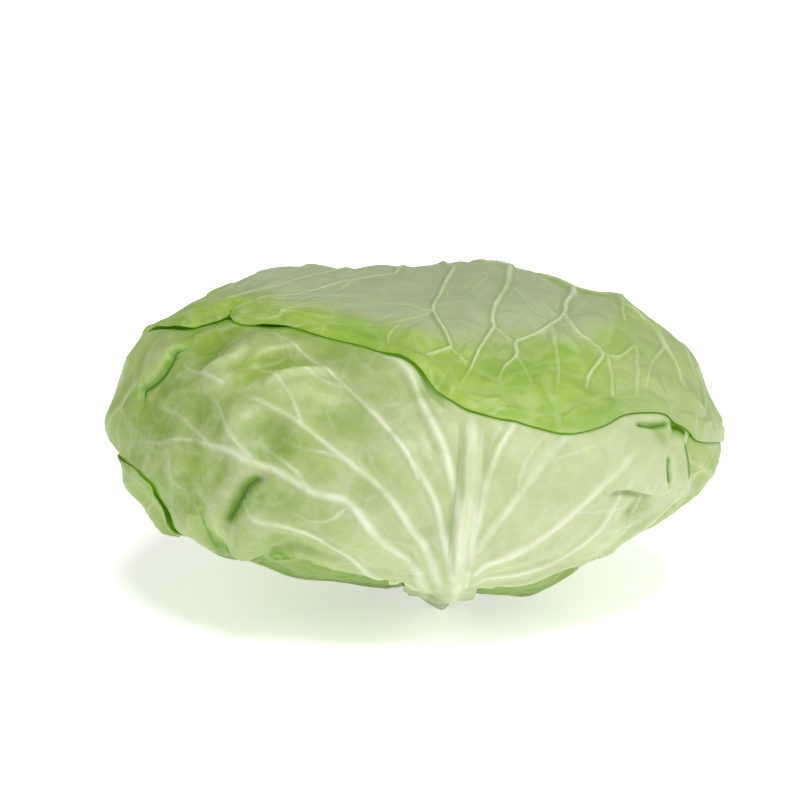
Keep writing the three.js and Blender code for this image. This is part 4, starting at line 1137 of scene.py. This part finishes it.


# Fresh cabbage leaf, grown: a soft, slightly translucent blade under a thin wax bloom, so its shine is
# broad and dull, its ribs are pale and its colour is mottled. Light and shade are painted into its colour
# too: a grey sheen on top, shade in dents, beside veins, low down, under covering margins and in the grooves,
# a highlight on bulges, and a faint green glow.
def leafSkin(name, look):
    material, tree, place = newSkin(name)

    def attribute(key):
        return add(tree, "ShaderNodeAttribute", {"attribute_name": key}).outputs["Fac"]

    def maths(operation, first, second=0.0):
        return add(tree, "ShaderNodeMath", {"operation": operation}, i0=first, i1=second).outputs[0]

    def times(first, second):
        return maths("MULTIPLY", first, second)

    def ramp(value, low, high, outLow=0.0, outHigh=1.0):
        return add(tree, "ShaderNodeMapRange", {"interpolation_type": "SMOOTHSTEP"}, Value=value, i1=low,
                   i2=high, i3=outLow, i4=outHigh).outputs[0]

    def blend(share, first, second):
        return add(tree, "ShaderNodeMix", {"data_type": "RGBA"}, i0=share, i6=first, i7=second).outputs[2]

    def noise(size, detail=3.0, rough=0.55, stretch=(1, 1, 1)):
        spot = add(tree, "ShaderNodeVectorMath", {"operation": "MULTIPLY"}, i0=place, i1=stretch).outputs[0]
        return add(tree, "ShaderNodeTexNoise", Vector=spot, Scale=1 / (size * mm), Detail=detail,
                   Roughness=rough).outputs[0]

    halo, line, net, under = attribute("halo"), attribute("line"), attribute("net"), attribute("under")
    local = attribute("local")
    # how far a place lies beyond the painted shadow line of the nearest groove
    beyondCreaseShadow = maths("SUBTRACT", maths("ABSOLUTE", attribute("creaseShadow")), attribute("open"))
    split = add(tree, "ShaderNodeSeparateXYZ", Vector=place)
    across, height = split.outputs["X"], split.outputs["Z"]
    rightward = times(ramp(across, -0.07, 0.06), ramp(across, 0.088, 0.112, 1.0, 0.25))
    nearRib = times(ramp(attribute("foot"), 25.0, 125.0, 1.0, 0.0), ramp(across, -0.085, -0.015))
    haloPatches = ramp(noise(look["haloPatch"]), 0.3, 0.62, 0.35, 1.0)
    # The painted sheen on the top of the head: above a set height, away from the margins, the colour turns
    # grey. It is partly the real wax bloom and partly painted reflection of the light from above; on the
    # crown a painted sheen also spreads to the right.
    bloomAndSheenNoise = noise(look["bloomAndSheenPatch"], 4.0, 0.6, (0.6, 1, 1))
    bloomAndSheenOnTop = ramp(maths("ADD", height, times(bloomAndSheenNoise, 0.014)), 0.116, 0.130)
    bloomAndSheen = times(times(bloomAndSheenOnTop, ramp(attribute("edge"), 8.0, 26.0)), look["bloomAndSheenShare"])
    if look["rightBloomAndSheen"]:
        bloomAndSheen = maths("MAXIMUM", bloomAndSheen, ramp(across, 0.045, 0.09, 0.0, look["rightBloomAndSheen"]))

    # what is laid over the blade's colour, one after the other: its share and its colour
    tints = [
        (times(ramp(noise(look["speckle"], 5.0, 0.65), 0.4, 0.75), 0.3), "pale"),
        # paler towards the right of the front leaf: partly the leaf's own colour, partly painted light from
        # the right
        (times(rightward, look["rightPale"]), "pale"),
        (times(ramp(attribute("cell"), -1.0, 1.0), 0.18), "pale"),
        (times(nearRib, look["ribShare"]), "pale"),
        # painted shade darkens the dents and a painted highlight lightens the bulges
        (ramp(local, -2.6, 0.3, 0.6, 0.0), "shade"),  # the dents
        (ramp(local, 0.8, 3.6, 0.0, 0.25), "pale"),  # and the bulges
        (times(times(halo, look["ribShare"]), haloPatches), "pale"),
        # grey wax bloom and painted sheen
        (bloomAndSheen, "bloomAndSheen"),
    ]
    if look["streaks"]:
        pleats = ramp(noise(look["pleat"], 3.0, 0.6, (0.09, 0.6, 1)), 0.5, 0.62)
        tints.append((times(times(pleats, ramp(across, -0.02, -0.06)), look["streaks"]), "vein"))
    tints += [
        # painted shade beside the veins
        (times(attribute("veinSideShade"), look["veinSideShadeShare"]), "shade"),
        (times(net, look["netShare"]), "vein"),
        (times(times(line, look["lineShare"]), haloPatches), "vein"),
        # painted shade, darker towards the bottom of the head
        (ramp(height, 0.012, 0.055, look["lowShade"], 0.0), "shade"),
        # painted shade just outside and under the margin of a leaf over this one
        (times(under, 0.8), "deep"),
        # painted shade beside each groove's line, then the painted shadow line itself
        (ramp(beyondCreaseShadow, 0.0, 1.7, 0.8, 0.0), "deep"),
        (ramp(beyondCreaseShadow, -0.25, 0.15, 1.0, 0.0), "creaseShadow"),
    ]
    mottle = ramp(noise(look["mottle"], 4.0), 0.35, 0.68)
    colour = blend(mottle, linear(look["shade"]), linear(look["blade"]))
    for share, key in tints:
        colour = blend(share, colour, linear(look[key]))

    grain = maths("ADD", times(noise(look["grain"], 3.0, 0.6), 0.35), times(net, 0.3))
    grain = maths("ADD", grain, times(line, 0.5))
    grain = maths("ADD", grain, ramp(beyondCreaseShadow, 0.0, 0.7))
    bump = add(tree, "ShaderNodeBump", Strength=look["bump"], Distance=0.0006, Height=grain).outputs[0]
    rough = ramp(noise(look["dullPatch"]), 0.3, 0.7, *look["waxDull"])
    # Painted glow: the blade gives off a faint deep-green light everywhere, stronger under the margin of a
    # leaf over it and at the grooves' shadow lines, standing in for light that shines through the leaf.
    paintedGlow = maths("MAXIMUM", ramp(under, 0.2, 1.0, 0.1, 0.8), ramp(beyondCreaseShadow, -0.25, 0.9, 0.2, 0.1))
    skin = add(tree, "ShaderNodeBsdfPrincipled", Roughness=rough, IOR=1.38, Base_Color=colour, Normal=bump,
               Subsurface_Weight=0.3, Subsurface_Radius=(0.7, 1.0, 0.2), Subsurface_Scale=0.006,
               Emission_Color=linear(look["deep"]), Emission_Strength=paintedGlow)
    add(tree, "ShaderNodeOutputMaterial", Surface=skin.outputs[0])
    return material


for leaf in leaves:
    look = {**plainFinish, **leafFinishes.get(leaf.name, leafFinishes["lower_leaf"])}
    blades[leaf.name].data.materials.append(leafSkin(leaf.name + "_grown_waxy_skin", look))


# Stem flesh, cut with a knife: pale, damp, with fibres and rings. The heart is the palest leaf.
def pithFlesh(name, pale, dark, size, rough):
    material, tree, place = newSkin(name)
    spot = add(tree, "ShaderNodeVectorMath", {"operation": "MULTIPLY"}, i0=place, i1=(1, 1, 0.3)).outputs[0]
    noise = add(tree, "ShaderNodeTexNoise", Vector=spot, Scale=1 / (size * mm), Detail=5.0, Roughness=0.6)
    fibres = noise.outputs[0]
    mixed = add(tree, "ShaderNodeMix", {"data_type": "RGBA"}, i0=fibres, i6=linear(dark), i7=linear(pale))
    bump = add(tree, "ShaderNodeBump", Strength=0.3, Distance=0.0005, Height=fibres).outputs[0]
    skin = add(tree, "ShaderNodeBsdfPrincipled", Roughness=rough, IOR=1.4, Base_Color=mixed.outputs[2],
               Normal=bump, Subsurface_Weight=0.2, Subsurface_Radius=(1.0, 1.0, 0.5), Subsurface_Scale=0.003)
    add(tree, "ShaderNodeOutputMaterial", Surface=skin.outputs[0])
    return material


heart.data.materials.append(pithFlesh("heart_leaf_grown_tight", "#C2C7A4", "#ACB97E", 7, 0.45))
stem.data.materials.append(pithFlesh("stem_flesh_cut", "#C5C7B3", "#AAAF89", 2.5, 0.6))
print("skins painted")

# A white table in a soft white studio. Lamps stand so far off that they light the whole table alike.
studio = {
    "floorColour": "#FFFFFF",
    "worldColour": "#FFFFFF",
    "worldStrength": 0.22,
    "floorSize": 16.0,
    "floorGlow": 0.505,
    "floorDull": 0.9,
    "floorDrop": 0.02,  # millimetres under the stem's cut face
    # where each soft lamp stands (degrees to the right of the front, and up), its strength and its spread
    "lamps": [
        ("top_lamp", 14, 62, 2.7, 26),
        ("right_lamp", 62, 34, 1.0, 40),
        ("left_lamp", -58, 32, 0.5, 40),
    ],
}


def softLamp(name, azimuth, elevation, strength, spread):
    lamp = bpy.data.lights.new(name, "SUN")
    lamp.energy = strength
    lamp.angle = math.radians(spread)
    stand = bpy.data.objects.new(name, lamp)
    bpy.context.collection.objects.link(stand)
    a, e = math.radians(azimuth), math.radians(elevation)
    away = Vector((math.sin(a) * math.cos(e), -math.cos(a) * math.cos(e), math.sin(e)))
    stand.location = away * 2
    stand.rotation_euler = (-away).to_track_quat("-Z", "Y").to_euler()


half = studio["floorSize"] / 2 / mm
corners = [(-half, -half), (half, -half), (half, half), (-half, half)]
corners = np.array([(x, y, -studio["floorDrop"]) for x, y in corners])
floor = toBlender("white_table", corners, [[0, 1, 2, 3]])
floorPaint = bpy.data.materials.new("lit_white_acrylic")
floorPaint.use_nodes = True
paint = floorPaint.node_tree.nodes["Principled BSDF"].inputs
paint["Base Color"].default_value = linear(studio["floorColour"])
paint["Roughness"].default_value = studio["floorDull"]
paint["Emission Color"].default_value = linear(studio["floorColour"])
paint["Emission Strength"].default_value = studio["floorGlow"]
floor.data.materials.append(floorPaint)

world = bpy.data.worlds.new("white_studio")
bpy.context.scene.world = world
world.use_nodes = True
background = world.node_tree.nodes["Background"].inputs
background[0].default_value = linear(studio["worldColour"])
background[1].default_value = studio["worldStrength"]
for lamp in studio["lamps"]:
    softLamp(*lamp)

camera = bpy.data.cameras.new("camera")
camera.sensor_width = view["sensor"]
camera.lens = view["sensor"] * view["distance"] / (view["picture"] * view["unit"])
camera.clip_end = view["clip"]
cameraObject = bpy.data.objects.new("camera", camera)
bpy.context.collection.objects.link(cameraObject)
cameraObject.location = Vector(eye * mm)
cameraObject.rotation_euler = Vector(sightAlong).to_track_quat("-Z", "Y").to_euler()
bpy.context.scene.camera = cameraObject
bpy.context.scene.view_settings.view_transform = "Standard"
print("studio and camera set")
